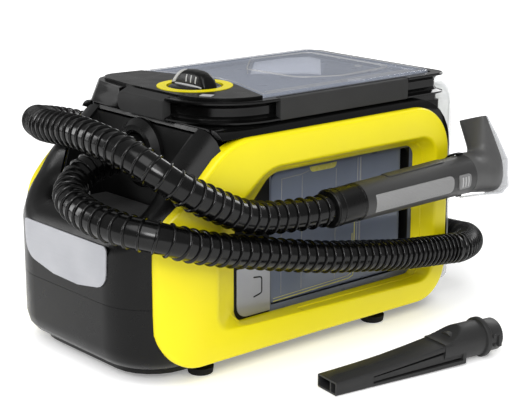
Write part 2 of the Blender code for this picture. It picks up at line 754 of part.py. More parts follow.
def tank_plan(inset):
    """The dirty tank seen from above. Its front is bowed like the edge of the lid over it."""
    half = DIRTY_HALF - inset
    low, high = DIRTY_Y[0] + inset, DIRTY_Y[1] - inset
    corner = 10 - inset
    return rounded([(half, low, 4), (half, high, corner), (-half, high, corner), (-half, low, 4),
                    (0, low + PANEL_BOW, 150)], 15)


def dirty_tank():
    """The smoked tank for used water, open at the top under its lid."""
    bottom, top = DIRTY_Z
    smoke = material("smoke_clear", SMOKE, 0.08, 0.0, 0.45)
    rings = []
    levels = [(bottom, 3), (bottom + 3, 0), (top, 0), (top, 2.2), (bottom + 4, 2.2), (bottom + 2.2, 4)]
    for z, inset in levels:
        rings.append([(x, y, z) for x, y in tank_plan(inset)])
    return loft("dirty_tank", rings, smoke)


def lid_seal():
    plan = [tank_plan(2.6), tank_plan(6)]
    return prism("lid_seal", plan, "Z", 240, 246.2, material("soft_rubber", (0.05, 0.05, 0.05), 0.8))


def tank_insides():
    clear = material("smoke_clear", SMOKE, 0.08, 0.0, 0.45)
    turned("intake_riser", [(12, 190), (12, 0), (9.6, 0), (9.6, 190)], clear, at=(-55, -20, 49), steps=24)
    x, y = FLOAT_AT[:2]
    turned("float_cage", [(17, 85), (17, 0), (14.8, 0), (14.8, 85)], clear, at=(x, y, 150), steps=24)
    white = material("float_white", (0.75, 0.75, 0.72), 0.5)
    turned("float_valve", [(0, 14), (9, 14), (13.6, 9), (13.6, 0), (0, 0)], white, at=FLOAT_AT,
           closed=False, steps=24)


def fresh_tank():
    """The clear tank for fresh water and detergent on the rear of the machine."""
    low, high = FRESH_Y
    bottom, top = FRESH_Z
    outline = rounded([(-FRESH_HALF, bottom, 14), (FRESH_HALF, bottom, 14), (FRESH_HALF, top, 22),
                       (-FRESH_HALF, top, 22)])
    half = FRESH_HALF - 2
    inner = rounded([(-half, bottom + 2, 12), (half, bottom + 2, 12), (half, top - 2, 20), (-half, top - 2, 20)])
    obj = prism("fresh_tank", [outline], "Y", low, high, material("milky_clear", CLEAR, 0.15, 0.0, 0.35),
                4.0, 2)
    boolean(obj, prism("fresh_hollow", [inner], "Y", low + 2, high - 2))
    neck = turned("fresh_neck", [(0, 10), (CAP_R - 3, 10), (CAP_R - 3, -12), (0, -12)], at=CAP_AT,
                  closed=False, steps=24)
    boolean(obj, neck)
    return obj


def fresh_tank_cap():
    plug = CAP_R - 3.4
    profile = [(0, 5.5), (CAP_R - 1, 5.5), (CAP_R, 4.5), (CAP_R, 0.4), (plug, 0.4), (plug, -6), (0, -6)]
    return turned("fresh_tank_cap", profile, material("satin_black", BLACK, 0.4), at=CAP_AT, closed=False,
                  steps=24)


def label_plates():
    """The metallic label seen through each window, with its lower front corner rounded off."""
    silver = material("silver", SILVER, 0.3, 0.9)
    face = rounded([(-93, 44, 12), (-51, 44, 1), (-51, 93, 1), (-93, 93, 1)])
    prism("label_plate_right", [face], "X", 98.0, 98.9, silver)
    prism("label_plate_left", [face], "X", -98.9, -98.0, silver)


def feet():
    rubber = material("foot_rubber", (0.02, 0.02, 0.02), 0.85)
    for name, x, y in (("foot_front_right", FOOT_X, -136), ("foot_front_left", -FOOT_X, -136),
                       ("foot_rear_right", FOOT_X, 94), ("foot_rear_left", -FOOT_X, 94)):
        profile = [(0, 6.7), (13, 6.7), (12, 0.8), (11, 0), (0, 0)]
        turned(name, profile, rubber, at=(x, y, 0), closed=False, steps=20)


# ---------------------------------------------------------------- inner working parts


def motor_group():
    metal = material("motor_steel", (0.5, 0.5, 0.52), 0.35, 0.9)
    dark = material("dark_plastic", BLACK, 0.5)
    x, y = MOTOR_AT
    turned("vacuum_motor", [(0, 92), (7, 92), (7, 86), (26, 86), (28, 83), (28, 3), (26, 0), (0, 0)], metal,
           at=(x, y, 20), closed=False, steps=28)
    can = [(31, 40), (31, 0), (8.5, 0), (8.5, 2.5), (28.6, 2.5), (28.6, 37.5), (14, 37.5), (14, 40)]
    turned("fan_housing", can, dark, at=(x, y, 106.4), steps=28)
    wheel = [(0, 22), (6, 22), (24, 14), (26, 14), (26, 10), (6, 9), (6, 6.4), (0, 6.4)]
    turned("impeller", wheel, material("float_white", (0.75, 0.75, 0.72), 0.5), at=(x, y, 106.4),
           closed=False, steps=28)
    turned("suction_duct", [(13, 77), (13, 0), (10.5, 0), (10.5, 77)], dark, at=(x, y, 147), steps=24)


def electrics():
    green = material("board_green", (0.02, 0.12, 0.05), 0.5)
    block("control_board", (10, -61.5, 90), (88, -59.5, 165), green)
    dark = material("dark_plastic", BLACK, 0.5)
    block("battery_contacts", (-24, -176, 78), (24, -146, BAY_FLOOR - 3), dark, 1.0)


def battery():
    dark = material("satin_graphite", GRAPHITE, 0.5)
    low, high = BATTERY_Y
    block("battery_pack", (-BATTERY_HALF, low, BAY_FLOOR + GAP), (BATTERY_HALF, high, 148), dark, 3.0)
    grey = material("light_grey", (0.55, 0.55, 0.56), 0.45)
    low, high = BATTERY_HALF + 2.4, BATTERY_HALF + 6
    front, rear = TAB_Y
    block("battery_tab_right", (low, front, 122), (high, rear, 150), grey, 0.8)
    block("battery_tab_left", (-high, front, 122), (-low, rear, 150), grey, 0.8)


def pump_group():
    x, y = PUMP_AT
    dark = material("dark_plastic", BLACK, 0.5)
    body = block("water_pump", (x - 15, y - 12, 30), (x + 15, y + 12, 78), dark, 2.0)
    bore = turned("pump_bore", [(0, 40), (6.4, 40), (6.4, 0), (0, 0)], at=(x, y, 52), closed=False, steps=20)
    boolean(body, bore)
    metal = material("motor_steel", (0.5, 0.5, 0.52), 0.35, 0.9)
    turned("pump_plunger", [(0, 30), (5.9, 30), (5.9, 0), (0, 0)], metal, at=(x, y, 56), closed=False,
           steps=20)
    stops = [(x - 15.5, y, 40), (x - 40, y, 42), (x - 60, y, 60), (x - 70, y, 110), (x - 80, y, 160)]
    route = smooth_route(stops, 12)
    tube("spray_line", route, 3.0, material("clear_hose", (0.6, 0.62, 0.6), 0.3))


# ---------------------------------------------------------------- hose and port


def port():
    black = material("satin_black", BLACK, 0.4)
    bezel = [(34, 0), (34, 4), (28, 10), (23, 10.6), (20.5, 9), (20.5, 0)]
    wall = FRONT_SHELL_REAR - 3.4 - 2.4 - GAP
    turned("port_bezel", bezel[::-1], black, at=(0, wall, PORT_Z), axis="Y", tilt=HALF_TURN, steps=36)
    sleeve = [(18.6, 0), (18.6, 26), (12.6, 26), (12.6, 0)]
    turned("hose_coupling", sleeve[::-1], black, at=(0, wall + 8, PORT_Z), axis="Y", tilt=HALF_TURN, steps=28)


def hose():
    """The ribbed suction hose: from the port, once round the machine, and on to the wand."""
    route = [HOSE_STOPS[0], *smooth_route(HOSE_STOPS[1:-1], 29.5), HOSE_STOPS[-1]]
    return tube("suction_hose", route, HOSE_R, material("hose_black", BLACK, 0.25), 3)


# ---------------------------------------------------------------- wand, made along its own Y axis


def circle(radius, y, count=24, squash=1.0, lift=0.0):
    points = []
    for k in range(count):
        angle = 2 * math.pi * k / count
        points.append((radius * math.cos(angle), y, squash * radius * math.sin(angle) + lift))
    return points


def face_plan(y0, y1, half, front_r, rear_r):
    """The outline, in Y and Z, of a fitting let into the handle."""
    return rounded([(y0, -half, front_r), (y1, -half, rear_r), (y1, half, rear_r), (y0, half, front_r)])


def pocket(name, roll, plan, floor):
    """A seat sunk into the handle on the side that faces the roll angle."""
    obj = prism(name, [plan], "X", floor, 30)
    obj.data.transform(Matrix.Rotation(-roll, 4, "Y"))
    return obj


def on_handle(name, roll, plan, inner, proud, finish):
    """A fitting for a seat. Its face follows the round handle and stands proud of it."""
    obj = prism(name, [plan], "X", inner, 30, finish)
    obj.data.transform(Matrix.Rotation(-roll, 4, "Y"))
    skin = loft(name + "_face", [circle(r + proud, y, 32) for r, y in HANDLE_SECTIONS])
    boolean(obj, skin, "INTERSECT")
    return bevel(obj, 0.5, 1)


HANDLE_SECTIONS = [(19.0, WAND_SEAM + GAP), (19.4, 60), (20.0, 120), (COLLAR_R, COLLAR_Y)]


def wand_handle():
    dark = material("satin_graphite", GRAPHITE, 0.5)
    rings = [circle(r, y) for r, y in HANDLE_SECTIONS]
    rings += [circle(11, COLLAR_Y), circle(11, WAND_SEAM + GAP)]
    obj = loft("wand_handle", rings, dark, loop=True)
    boolean(obj, pocket("trigger_seat", TOP, face_plan(*TRIGGER_Y, 6.3, 3, 3), 13.6))
    boolean(obj, pocket("button_seat", GRIP_ROLL, face_plan(*BUTTON_Y, 7.8, 3, 3), 13.6))
    boolean(obj, pocket("grip_seat", GRIP_ROLL, face_plan(*GRIP_Y, 9.3, 1.5, 5), 15.6))
    return obj


def wand_fittings():
    grey = material("mid_grey", GREY, 0.6)
    low, high = TRIGGER_Y
    dark = material("satin_graphite", GRAPHITE, 0.5)
    on_handle("spray_trigger", TOP, face_plan(low + GAP, high - GAP, 6, 2.7, 2.7), 16.2, 0.9, dark)
    low, high = BUTTON_Y
    on_handle("release_button", GRIP_ROLL, face_plan(low + GAP, high - GAP, 7.5, 2.7, 2.7), 16.0, 1.4, grey)
    low, high = GRIP_Y
    on_handle("grip_insert", GRIP_ROLL, face_plan(low + GAP, high - GAP, 9, 1.2, 4.7), 15.9, 0.4, grey)


def hose_cuff():
    profile = [(17.6, CUFF_START), (18.6, CUFF_START + 1.5), (18.8, WAND_SEAM), (12, WAND_SEAM),
               (12, CUFF_START)]
    turned("hose_cuff", profile[::-1], material("satin_black", BLACK, 0.4), axis="Y", steps=28)


# The nozzle head's sections: the inner edge's Y and height, the outer edge's, the half width, and how boxy it is.
NOZZLE_SECTIONS = [
    ((COLLAR_Y + GAP, COLLAR_R), (COLLAR_Y + GAP, -COLLAR_R), COLLAR_R, 1.0),
    ((183, 21.6), (184, -21), 20.6, 0.95),
    ((190, 20.5), (200, -23.5), 19.6, 0.85),
    ((195, 21.5), (216, -25), 18.2, 0.7),
    ((198, 23.5), (226, -14.3), 16.5, 0.6),
    ((199.5, 27.7), (229.5, 4), 15.4, 0.5),
    ((201, 38), (222, 31), 16.3, 0.4),
    ((203, 54.7), (213.5, 53.7), 18, 0.3),
]


def nozzle_ring(section, inset):
    """One ring of the head, moved inwards by inset."""
    inner, outer, half, roundness = section
    inner = Vector(inner)
    outer = Vector(outer)
    middle = (inner + outer) / 2
    reach = (inner - outer).length / 2 - inset
    way = (inner - outer).normalized()
    ring = []
    for x, along in squircle(half - inset, reach, 0, roundness):
        spot = middle + way * along
        ring.append((x, spot.x, spot.y))
    return ring


def nozzle():
    """The spray and suction nozzle: it leaves the handle round and turns up to a wide flat mouth."""
    rings = [nozzle_ring(section, 0) for section in NOZZLE_SECTIONS]
    rings += [nozzle_ring(section, NOZZLE_WALL) for section in NOZZLE_SECTIONS[::-1]]
    obj = loft("nozzle_body", rings, material("satin_graphite", GRAPHITE, 0.5), loop=True)
    obj.data.transform(Matrix.Rotation(-NOZZLE_ROLL, 4, "Y"))
    return obj


def nozzle_cover():
    """The clear strip that closes the nozzle's outer face and wraps under it."""
    outer = [(178, -24.5), (214, -29.5), (226.5, -23.5), (234, 4), (225, 33), (216, 54)]
    inner = [(214.3, 53.6), (223, 32.5), (232, 4), (224.8, -22), (213.5, -27.6), (178, -22.6)]
    clear = material("nozzle_clear", (0.30, 0.31, 0.33), 0.12, 0.0, 0.5)
    obj = prism("nozzle_cover", [outer + inner], "X", -14, 14, clear, 0.5, 1)
    obj.data.transform(Matrix.Rotation(-NOZZLE_ROLL, 4, "Y"))
    return obj


def wand():
    local_frame("wand_frame", (WAND_X, 0, WAND_Z - WAND_LEVEL_Y * WAND_RISE),
                Matrix.Rotation(math.atan(WAND_RISE), 3, "X"))
    hose_cuff()
    wand_handle()
    wand_fittings()
    nozzle()
    nozzle_cover()
    PLACE["frame"] = PLACE["root"]


def wand_clip():
    """The holder on the side shell that the handle snaps into."""
    inner, outer = COLLAR_R + 0.5, COLLAR_R + 2.6
    low, high = 167.5, 174.0
    middle = WAND_Z + ((low + high) / 2 - WAND_LEVEL_Y) * WAND_RISE
    angles = [math.radians(88 + 184 * k / 12) for k in range(13)]
    points = [(WAND_X + outer * math.cos(a), middle + outer * math.sin(a)) for a in angles]
    points += [(WAND_X + inner * math.cos(a), middle + inner * math.sin(a)) for a in reversed(angles)]
    return prism("wand_clip", [points], "Y", low, high, material("satin_black", BLACK, 0.4))


# ---------------------------------------------------------------- crevice tool, made along its own Y axis


def crevice_tool():
    (x0, y0), (x1, y1) = TOOL_TIP, TOOL_END
    length = math.hypot(x1 - x0, y1 - y0)
    local_frame("tool_frame", (x0, y0, 0), Matrix.Rotation(-math.atan2(x1 - x0, y1 - y0), 3, "Z"))
    rings = []
    shape = [(0, 15, 6.5, 6.6, 0.25), (60, 15, 7.5, 8.2, 0.25), (110, 15.5, 10, 11.5, 0.4),
             (138, 16, 15, 16.4, 0.8), (160, 17, 17, 18.6, 1), (length - 22, 17, 17, 18.6, 1),
             (length - 21, 18.6, 18.6, 18.6, 1), (length - 17, 18.6, 18.6, 18.6, 1),
             (length - 16, 16, 16, 18.6, 1), (length, 16, 16, 18.6, 1)]
    for y, half, tall, lift, roundness in shape:
        rings.append([(x, y, z) for x, z in squircle(half, tall, lift, roundness)])
    bore = [(length, 13, 13, 18.6, 1), (140, 13, 12.5, 16.4, 0.8), (100, 12.5, 6.8, 10.8, 0.4),
            (0, 12.4, 4.1, 6.6, 0.25)]
    for y, half, tall, lift, roundness in bore:
        rings.append([(x, y, z) for x, z in squircle(half, tall, lift, roundness)])
    obj = loft("crevice_tool", rings, material("satin_graphite", GRAPHITE, 0.5), loop=True)
    block("tool_web", (-1.2, 0.4, 1.6), (1.2, 20, 11.8))
    boolean(obj, bpy.data.objects["tool_web"], "UNION")
    PLACE["frame"] = PLACE["root"]
    return obj


def squircle(half, tall, lift, roundness, count=24):
    """A ring between a rounded rectangle and an ellipse. Roundness 1 is the ellipse."""
    points = []
    power = 0.5 + 0.5 * roundness
    for k in range(count):
        angle = 2 * math.pi * (k + 0.5) / count
        c, s = math.cos(angle), math.sin(angle)
        x = half * math.copysign(abs(c) ** power, c)
        z = tall * math.copysign(abs(s) ** power, s)
        points.append((x, z + lift))
    return points


# ---------------------------------------------------------------- the whole machine


def build():
    clear_scene()
    base_pan()
    front_lower_cover()
    front_upper_cover()
    bay_liner()
    badge_plate()
    for side in (-1, 1):
        side_shell(side)
        arch(side)
    main_housing()
    inner_walls()
    deck_plate()
    rim_frame()
    rim_bars()
    control_panel()
    knob()
    knob_marks()
    index_mark()
    mode_switch()
    tank_lid()
    dirty_tank()
    lid_seal()
    tank_insides()
    fresh_tank()
    fresh_tank_cap()
    label_plates()
    feet()
    motor_group()
    electrics()
    battery()
    pump_group()
    port()
    hose()
    wand()
    wand_clip()
    crevice_tool()


build()
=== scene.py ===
import json
import math

import bmesh
import bpy
from mathutils import Matrix, Vector


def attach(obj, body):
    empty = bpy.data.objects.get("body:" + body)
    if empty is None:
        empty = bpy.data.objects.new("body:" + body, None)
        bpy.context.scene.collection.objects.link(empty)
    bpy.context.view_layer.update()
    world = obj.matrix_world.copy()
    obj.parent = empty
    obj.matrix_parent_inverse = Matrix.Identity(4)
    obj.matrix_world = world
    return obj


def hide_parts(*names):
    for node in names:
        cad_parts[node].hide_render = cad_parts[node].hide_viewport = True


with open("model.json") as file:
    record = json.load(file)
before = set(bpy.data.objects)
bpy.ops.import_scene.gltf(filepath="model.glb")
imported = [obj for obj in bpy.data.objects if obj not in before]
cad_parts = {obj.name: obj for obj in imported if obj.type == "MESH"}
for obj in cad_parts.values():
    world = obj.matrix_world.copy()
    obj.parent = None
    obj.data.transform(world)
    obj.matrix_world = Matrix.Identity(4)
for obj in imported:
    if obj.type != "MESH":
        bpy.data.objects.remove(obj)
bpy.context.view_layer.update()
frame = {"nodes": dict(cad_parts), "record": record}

# The machine's own frame, in millimetres, has its origin on the floor under the body's middle.
ORIGIN_X = 68.13
ORIGIN_Y = 5.72


def at(x, y, z):
    return Vector(((x - ORIGIN_X) / 1000, (y - ORIGIN_Y) / 1000, z / 1000))


# ---------------------------------------------------------------- camera


def make_camera():
    data = bpy.data.cameras.new("camera")
    data.lens = 100.4
    data.sensor_width = 36
    data.clip_end = 50
    camera = bpy.data.objects.new("camera", data)
    bpy.context.scene.collection.objects.link(camera)
    camera.location = at(1115.49, -938.58, 505.07)
    way = Vector((-0.73277, 0.63064, -0.25562))
    camera.rotation_euler = way.to_track_quat("-Z", "Y").to_euler()
    bpy.context.scene.camera = camera


make_camera()

# ---------------------------------------------------------------- materials


def linear(r, g, b):
    """Display colour, 0 to 255, as linear light."""
    return tuple(((c / 255 + 0.055) / 1.055) ** 2.4 if c > 10 else c / 255 / 12.92 for c in (r, g, b))


class Finish:
    """A procedural material being built: a Principled shader that noise varies over the surface."""

    def __init__(self, name, colour, roughness, metallic=0.0):
        self.material = bpy.data.materials.new(name)
        self.material.use_nodes = True
        self.nodes = self.material.node_tree.nodes
        self.links = self.material.node_tree.links
        self.shader = self.nodes["Principled BSDF"]
        self.colour = colour
        self.shader.inputs["Base Color"].default_value = (*colour, 1)
        self.shader.inputs["Roughness"].default_value = roughness
        self.shader.inputs["Metallic"].default_value = metallic
        self.space = self.nodes.new("ShaderNodeTexCoord").outputs["Object"]
        self.normal = None

    def noise(self, scale, detail=4.0, stretch=None):
        made = self.nodes.new("ShaderNodeTexNoise")
        made.inputs["Scale"].default_value = scale
        made.inputs["Detail"].default_value = detail
        source = self.space
        if stretch:
            mapping = self.nodes.new("ShaderNodeMapping")
            mapping.inputs["Scale"].default_value = stretch
            self.links.new(source, mapping.inputs["Vector"])
            source = mapping.outputs["Vector"]
        self.links.new(source, made.inputs["Vector"])
        return made.outputs["Fac"]

    def spread(self, source, low, high):
        made = self.nodes.new("ShaderNodeMapRange")
        made.inputs["From Min"].default_value = 0.3
        made.inputs["From Max"].default_value = 0.7
        made.inputs["To Min"].default_value = low
        made.inputs["To Max"].default_value = high
        self.links.new(source, made.inputs["Value"])
        return made.outputs["Result"]

    def rough(self, low, high, scale, stretch=None):
        varied = self.spread(self.noise(scale, 5.0, stretch), low, high)
        self.links.new(varied, self.shader.inputs["Roughness"])
        return self

    def tint(self, other, scale, low=0.0, high=1.0):
        mix = self.nodes.new("ShaderNodeMix")
        mix.data_type = "RGBA"
        mix.inputs["A"].default_value = (*self.colour, 1)
        mix.inputs["B"].default_value = (*other, 1)
        self.links.new(self.spread(self.noise(scale), low, high), mix.inputs["Factor"])
        self.links.new(mix.outputs["Result"], self.shader.inputs["Base Color"])
        return self

    def bump(self, source, depth, strength=1.0):
        made = self.nodes.new("ShaderNodeBump")
        made.inputs["Distance"].default_value = depth
        made.inputs["Strength"].default_value = strength
        self.links.new(source, made.inputs["Height"])
        if self.normal:
            self.links.new(self.normal, made.inputs["Normal"])
        self.normal = made.outputs["Normal"]
        self.links.new(self.normal, self.shader.inputs["Normal"])
        return self

    def grain(self, scale, depth, strength=1.0, stretch=None):
        return self.bump(self.noise(scale, 3.0, stretch), depth, strength)

    def knurl(self, scale, depth):
        """Fine crossed grooves."""
        for way in ("Y", "Z"):
            wave = self.nodes.new("ShaderNodeTexWave")
            wave.bands_direction = way
            wave.inputs["Scale"].default_value = scale / 10
            self.links.new(self.space, wave.inputs["Vector"])
            self.bump(wave.outputs["Fac"], depth, 0.8)
        return self

    def gloss(self, level):
        """How strongly the surface mirrors the studio. 0.5 is plain plastic."""
        self.shader.inputs["Specular IOR Level"].default_value = level
        return self

    def alpha(self, value):
        self.shader.inputs["Alpha"].default_value = value
        return self


def shade(level):
    return linear(level, level, level)


YELLOW = linear(233, 219, 8)
M = {
    "yellow": Finish("yellow_plastic", YELLOW, 0.36).tint(linear(229, 214, 6), 9).rough(0.32, 0.42, 30)
    .grain(1400, 0.00004, 0.5).gloss(0.35),
    "gloss_black": Finish("gloss_black", shade(5), 0.14).tint(shade(8), 14).rough(0.1, 0.18, 25)
    .grain(400, 0.00002, 0.4).gloss(0.22),
    "satin_black": Finish("satin_black", shade(10), 0.3).tint(shade(8), 12).rough(0.25, 0.34, 60)
    .grain(1600, 0.00004, 0.4).gloss(0.2),
    "dark_plastic": Finish("dark_plastic", shade(15), 0.5).tint(shade(11), 12).rough(0.42, 0.56, 50)
    .grain(1500, 0.00006, 0.6).gloss(0.2),
    "silver": Finish("silver_plate", linear(172, 173, 177), 0.34, 0.6).tint(linear(158, 159, 164), 18)
    .rough(0.28, 0.4, 50, (1, 1, 14)).grain(900, 0.00002, 0.4, (1, 1, 12)),
    "graphite": Finish("matt_graphite", shade(47), 0.62).tint(shade(42), 16).rough(0.55, 0.7, 40)
    .grain(1900, 0.00008, 0.7).gloss(0.2),
    "light_grey": Finish("light_grey", shade(176), 0.42).tint(shade(168), 16).rough(0.38, 0.48, 40)
    .grain(1500, 0.00004, 0.5),
    "smoke": Finish("smoked_clear", linear(118, 126, 144), 0.07).tint(linear(126, 134, 152), 12)
    .rough(0.04, 0.1, 30).grain(40, 0.0001, 0.2).gloss(0.4).alpha(0.78),
    "lid": Finish("lid_clear", linear(168, 175, 190), 0.07).tint(linear(176, 183, 198), 12)
    .rough(0.05, 0.1, 30).grain(40, 0.0001, 0.2).gloss(0.5).alpha(0.34),
    "rubber": Finish("soft_rubber", shade(16), 0.8).tint(shade(22), 30).rough(0.7, 0.9, 60)
    .grain(900, 0.0001, 0.6).gloss(0.2),
    "white": Finish("white_plastic", shade(222), 0.45).tint(shade(214), 20).rough(0.4, 0.5, 40)
    .grain(1200, 0.00004, 0.5),
    "milky": Finish("milky_clear", linear(226, 229, 230), 0.12).tint(linear(216, 220, 222), 14)
    .rough(0.08, 0.2, 30).grain(60, 0.0001, 0.2).alpha(0.36),
    "pale": Finish("pale_yellow_water", linear(238, 232, 176), 0.3).tint(linear(232, 226, 168), 14)
    .rough(0.2, 0.35, 30).grain(60, 0.0001, 0.2),
    "steel": Finish("motor_steel", shade(170), 0.35, 0.9).tint(shade(150), 20)
    .rough(0.28, 0.45, 60, (1, 1, 9)).grain(700, 0.00003, 0.5),
    "board": Finish("circuit_board", linear(24, 84, 48), 0.45).tint(linear(38, 108, 62), 160)
    .rough(0.4, 0.55, 80).grain(500, 0.0002, 0.6),
    "anthracite": Finish("satin_anthracite", shade(54), 0.4).tint(shade(49), 14).rough(0.35, 0.46, 60)
    .grain(1500, 0.00005, 0.6).gloss(0.3),
    "tube": Finish("clear_tube", shade(205), 0.3).tint(shade(190), 40).rough(0.25, 0.4, 50)
    .grain(600, 0.00005, 0.5),
    "hose": Finish("hose_black", shade(5), 0.2).tint(shade(8), 30).rough(0.15, 0.22, 60)
    .grain(500, 0.00003, 0.4).gloss(0.28),
    "mid_grey": Finish("mid_grey", shade(122), 0.5).tint(shade(114), 20).rough(0.45, 0.58, 60)
    .grain(1500, 0.00006, 0.6).gloss(0.3),
    "cover_clear": Finish("nozzle_clear", linear(176, 179, 183), 0.1).tint(linear(166, 169, 174), 20)
    .rough(0.06, 0.15, 40).grain(80, 0.0001, 0.2).alpha(0.5),
    # Light lines on the clear parts' moulded ridges: the ridges are real, their brightness is a painted
    # highlight.
    "painted_highlight": Finish("moulded_line_painted_highlight", shade(186), 0.2).tint(shade(176), 30).rough(0.15, 0.25, 50)
    .grain(600, 0.00003, 0.4).alpha(0.55),
    "tray": Finish("lid_tray", linear(112, 119, 136), 0.3).tint(linear(104, 111, 128), 12)
    .rough(0.25, 0.38, 40).grain(500, 0.00004, 0.4),
    # Dark blue-grey: the plates round the tank in the windows, and the painted shade under the clear lid.
    "slate": Finish("slate_and_painted_shade", linear(82, 88, 102), 0.3).tint(linear(76, 82, 96), 14)
    .rough(0.25, 0.38, 40).grain(500, 0.00004, 0.4),
    # Near-white for the panels under the clear lid: painted light on the lid's recess.
    "painted_light": Finish("lid_painted_light", linear(238, 240, 248), 0.35).tint(linear(230, 232, 242), 14)
    .rough(0.3, 0.42, 40).grain(500, 0.00004, 0.4),
    "nozzle_grey": Finish("nozzle_grey", shade(76), 0.42).tint(shade(70), 14).rough(0.36, 0.48, 60)
    .grain(1500, 0.00005, 0.6).gloss(0.3),
    "tool_grey": Finish("tool_grey", shade(42), 0.45).tint(shade(38), 14).rough(0.4, 0.52, 60)
    .grain(1500, 0.00005, 0.6).gloss(0.25),
    "knurl": Finish("knurled_grip", shade(140), 0.5).tint(shade(132), 20).rough(0.45, 0.58, 60)
    .knurl(2200, 0.0003).gloss(0.3),
    "ink": Finish("black_print", shade(12), 0.5).tint(shade(16), 40).rough(0.45, 0.6, 50)
    .grain(1500, 0.00003, 0.4).gloss(0.2),
    "amber": Finish("amber_clear", linear(196, 190, 96), 0.3).tint(linear(186, 180, 90), 30)
    .rough(0.2, 0.4, 50).grain(300, 0.00005, 0.4),
}

SLOT_FINISH = {
    "yellow_shell": "yellow", "gloss_black": "gloss_black", "satin_black": "satin_black",
    "dark_plastic": "dark_plastic", "silver": "silver", "matt_graphite": "graphite",
    "yellow_mark": "yellow", "light_grey": "light_grey",
    "smoke_clear": "smoke", "soft_rubber": "rubber", "float_white": "white", "milky_clear": "milky",
    "foot_rubber": "rubber", "motor_steel": "steel", "board_green": "board", "satin_graphite": "anthracite",
    "clear_hose": "tube", "hose_black": "hose", "mid_grey": "mid_grey", "nozzle_clear": "cover_clear",
}
NODE_FINISH = {"grip_insert": "knurl"}


def soften(obj, angle=32):
    """Smooth curves between crisp edges, with flat faces kept flat."""
    weld = obj.modifiers.new("weld", "WELD")
    weld.merge_threshold = 0.000002
    split = obj.modifiers.new("crisp_edges", "EDGE_SPLIT")
    split.split_angle = math.radians(angle)
    level = obj.modifiers.new("flat_faces", "WEIGHTED_NORMAL")
    level.keep_sharp = True


def dress_nodes():
    """Gives every CAD node its finish, with smooth curves and crisp edges."""
    for part in frame["record"]["subparts"]:
        obj = frame["nodes"][part["node"]]
        finish = M[NODE_FINISH.get(part["node"], SLOT_FINISH[part["material_slot"]])].material
        obj.data.materials.clear()
        obj.data.materials.append(finish)
        obj.data.shade_smooth()
        soften(obj)


dress_nodes()

# ---------------------------------------------------------------- shape helpers


def add(name, bm, finish, body, smooth=35, replaced=()):
    bmesh.ops.recalc_face_normals(bm, faces=bm.faces)
    data = bpy.data.meshes.new(name)
    bm.to_mesh(data)
    bm.free()
    data.shade_smooth()
    data.set_sharp_from_angle(angle=math.radians(smooth))
    data.materials.append(M[finish].material)
    obj = bpy.data.objects.new(name, data)
    bpy.context.scene.collection.objects.link(obj)
    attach(obj, body)
    if replaced:
        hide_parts(*replaced)
    return obj


def skin(bm, rings, loop=False, caps=True):
    """Faces between rings of equally many points, given in machine millimetres."""
    rows = [[bm.verts.new(at(*point)) for point in ring] for ring in rings]
    pairs = list(zip(rows, rows[1:]))
    if loop:
        pairs.append((rows[-1], rows[0]))
    count = len(rows[0])
    for near, far in pairs:
        for i in range(count):
            j = (i + 1) % count
            bm.faces.new((near[i], near[j], far[j], far[i]))
    if caps and not loop:
        bm.faces.new(rows[0])
        bm.faces.new(rows[-1])
    return rows


def between(place, stops):
    """The value at a place along (place, value) stops, on straight lines between them."""
    for (near, first), (far, last) in zip(stops, stops[1:]):
        if place <= far:
            return first + (last - first) * (place - near) / (far - near)
    return stops[-1][1]


def smooth_table(rows, steps):
    """Rows of numbers joined by Catmull-Rom curves, with steps pieces to each gap."""
    rows = [Vector(row) for row in rows]
    padded = [2 * rows[0] - rows[1], *rows, 2 * rows[-1] - rows[-2]]
    made = []
    for a, b, c, d in zip(padded, padded[1:], padded[2:], padded[3:]):
        for k in range(steps):
            t = k / steps
            made.append(0.5 * (2 * b + (c - a) * t + (2 * a - 5 * b + 4 * c - d) * t**2
                               + (3 * b - a - 3 * c + d) * t**3))
    made.append(rows[-1])
    return made


# ---------------------------------------------------------------- hose

PORT_Z = 197.0
CUFF_START = -17.0
WAND_X = 143.0
WAND_Z = 151.3
WAND_RISE = 0.023
HOSE_STOPS = [
    (0, -146.5, PORT_Z), (0, -158, PORT_Z), (-3, -188, 190), (4, -212, 179), (22, -228, 172),
    (50, -234, 166), (80, -234, 162), (108, -228, 159), (128, -216, 156), (138, -198, 150),
    (139, -180, 143), (139, -146, 132.5), (139, -98, 120), (139, -23, 102), (139, 32, 92),
    (139, 86, 83), (139, 119, 79), (139, 158, 75), (139, 178, 73), (125, 209, 70), (101, 233, 66),
    (78, 243, 62), (0, 243, 60), (-78, 242, 66), (-108, 233, 72), (-132, 212, 80), (-141, 185, 90),
    (-141, 120, 115), (-141, 40, 146), (-141, -40, 175), (-140, -108, 199), (-136, -140, 208),
    (-123, -165, 214), (-104, -181, 219), (-80, -192, 222), (-56, -204, 225.5), (-32, -213, 229),
    (22, -217, 232), (77, -216, 227), (106, -212, 220), (127, -202, 208), (138, -180, 191),
    (139, -145, 172), (139, -122, 161), (139, -98, 154), (139.5, -74, 151), (142, -48, 149.5),
    (WAND_X, -30, WAND_Z - 110 * WAND_RISE), (WAND_X, CUFF_START - 0.5, WAND_Z - 97.5 * WAND_RISE),
]


ROUTE_PIECES = 48
ROUTE_SMOOTHING = 60


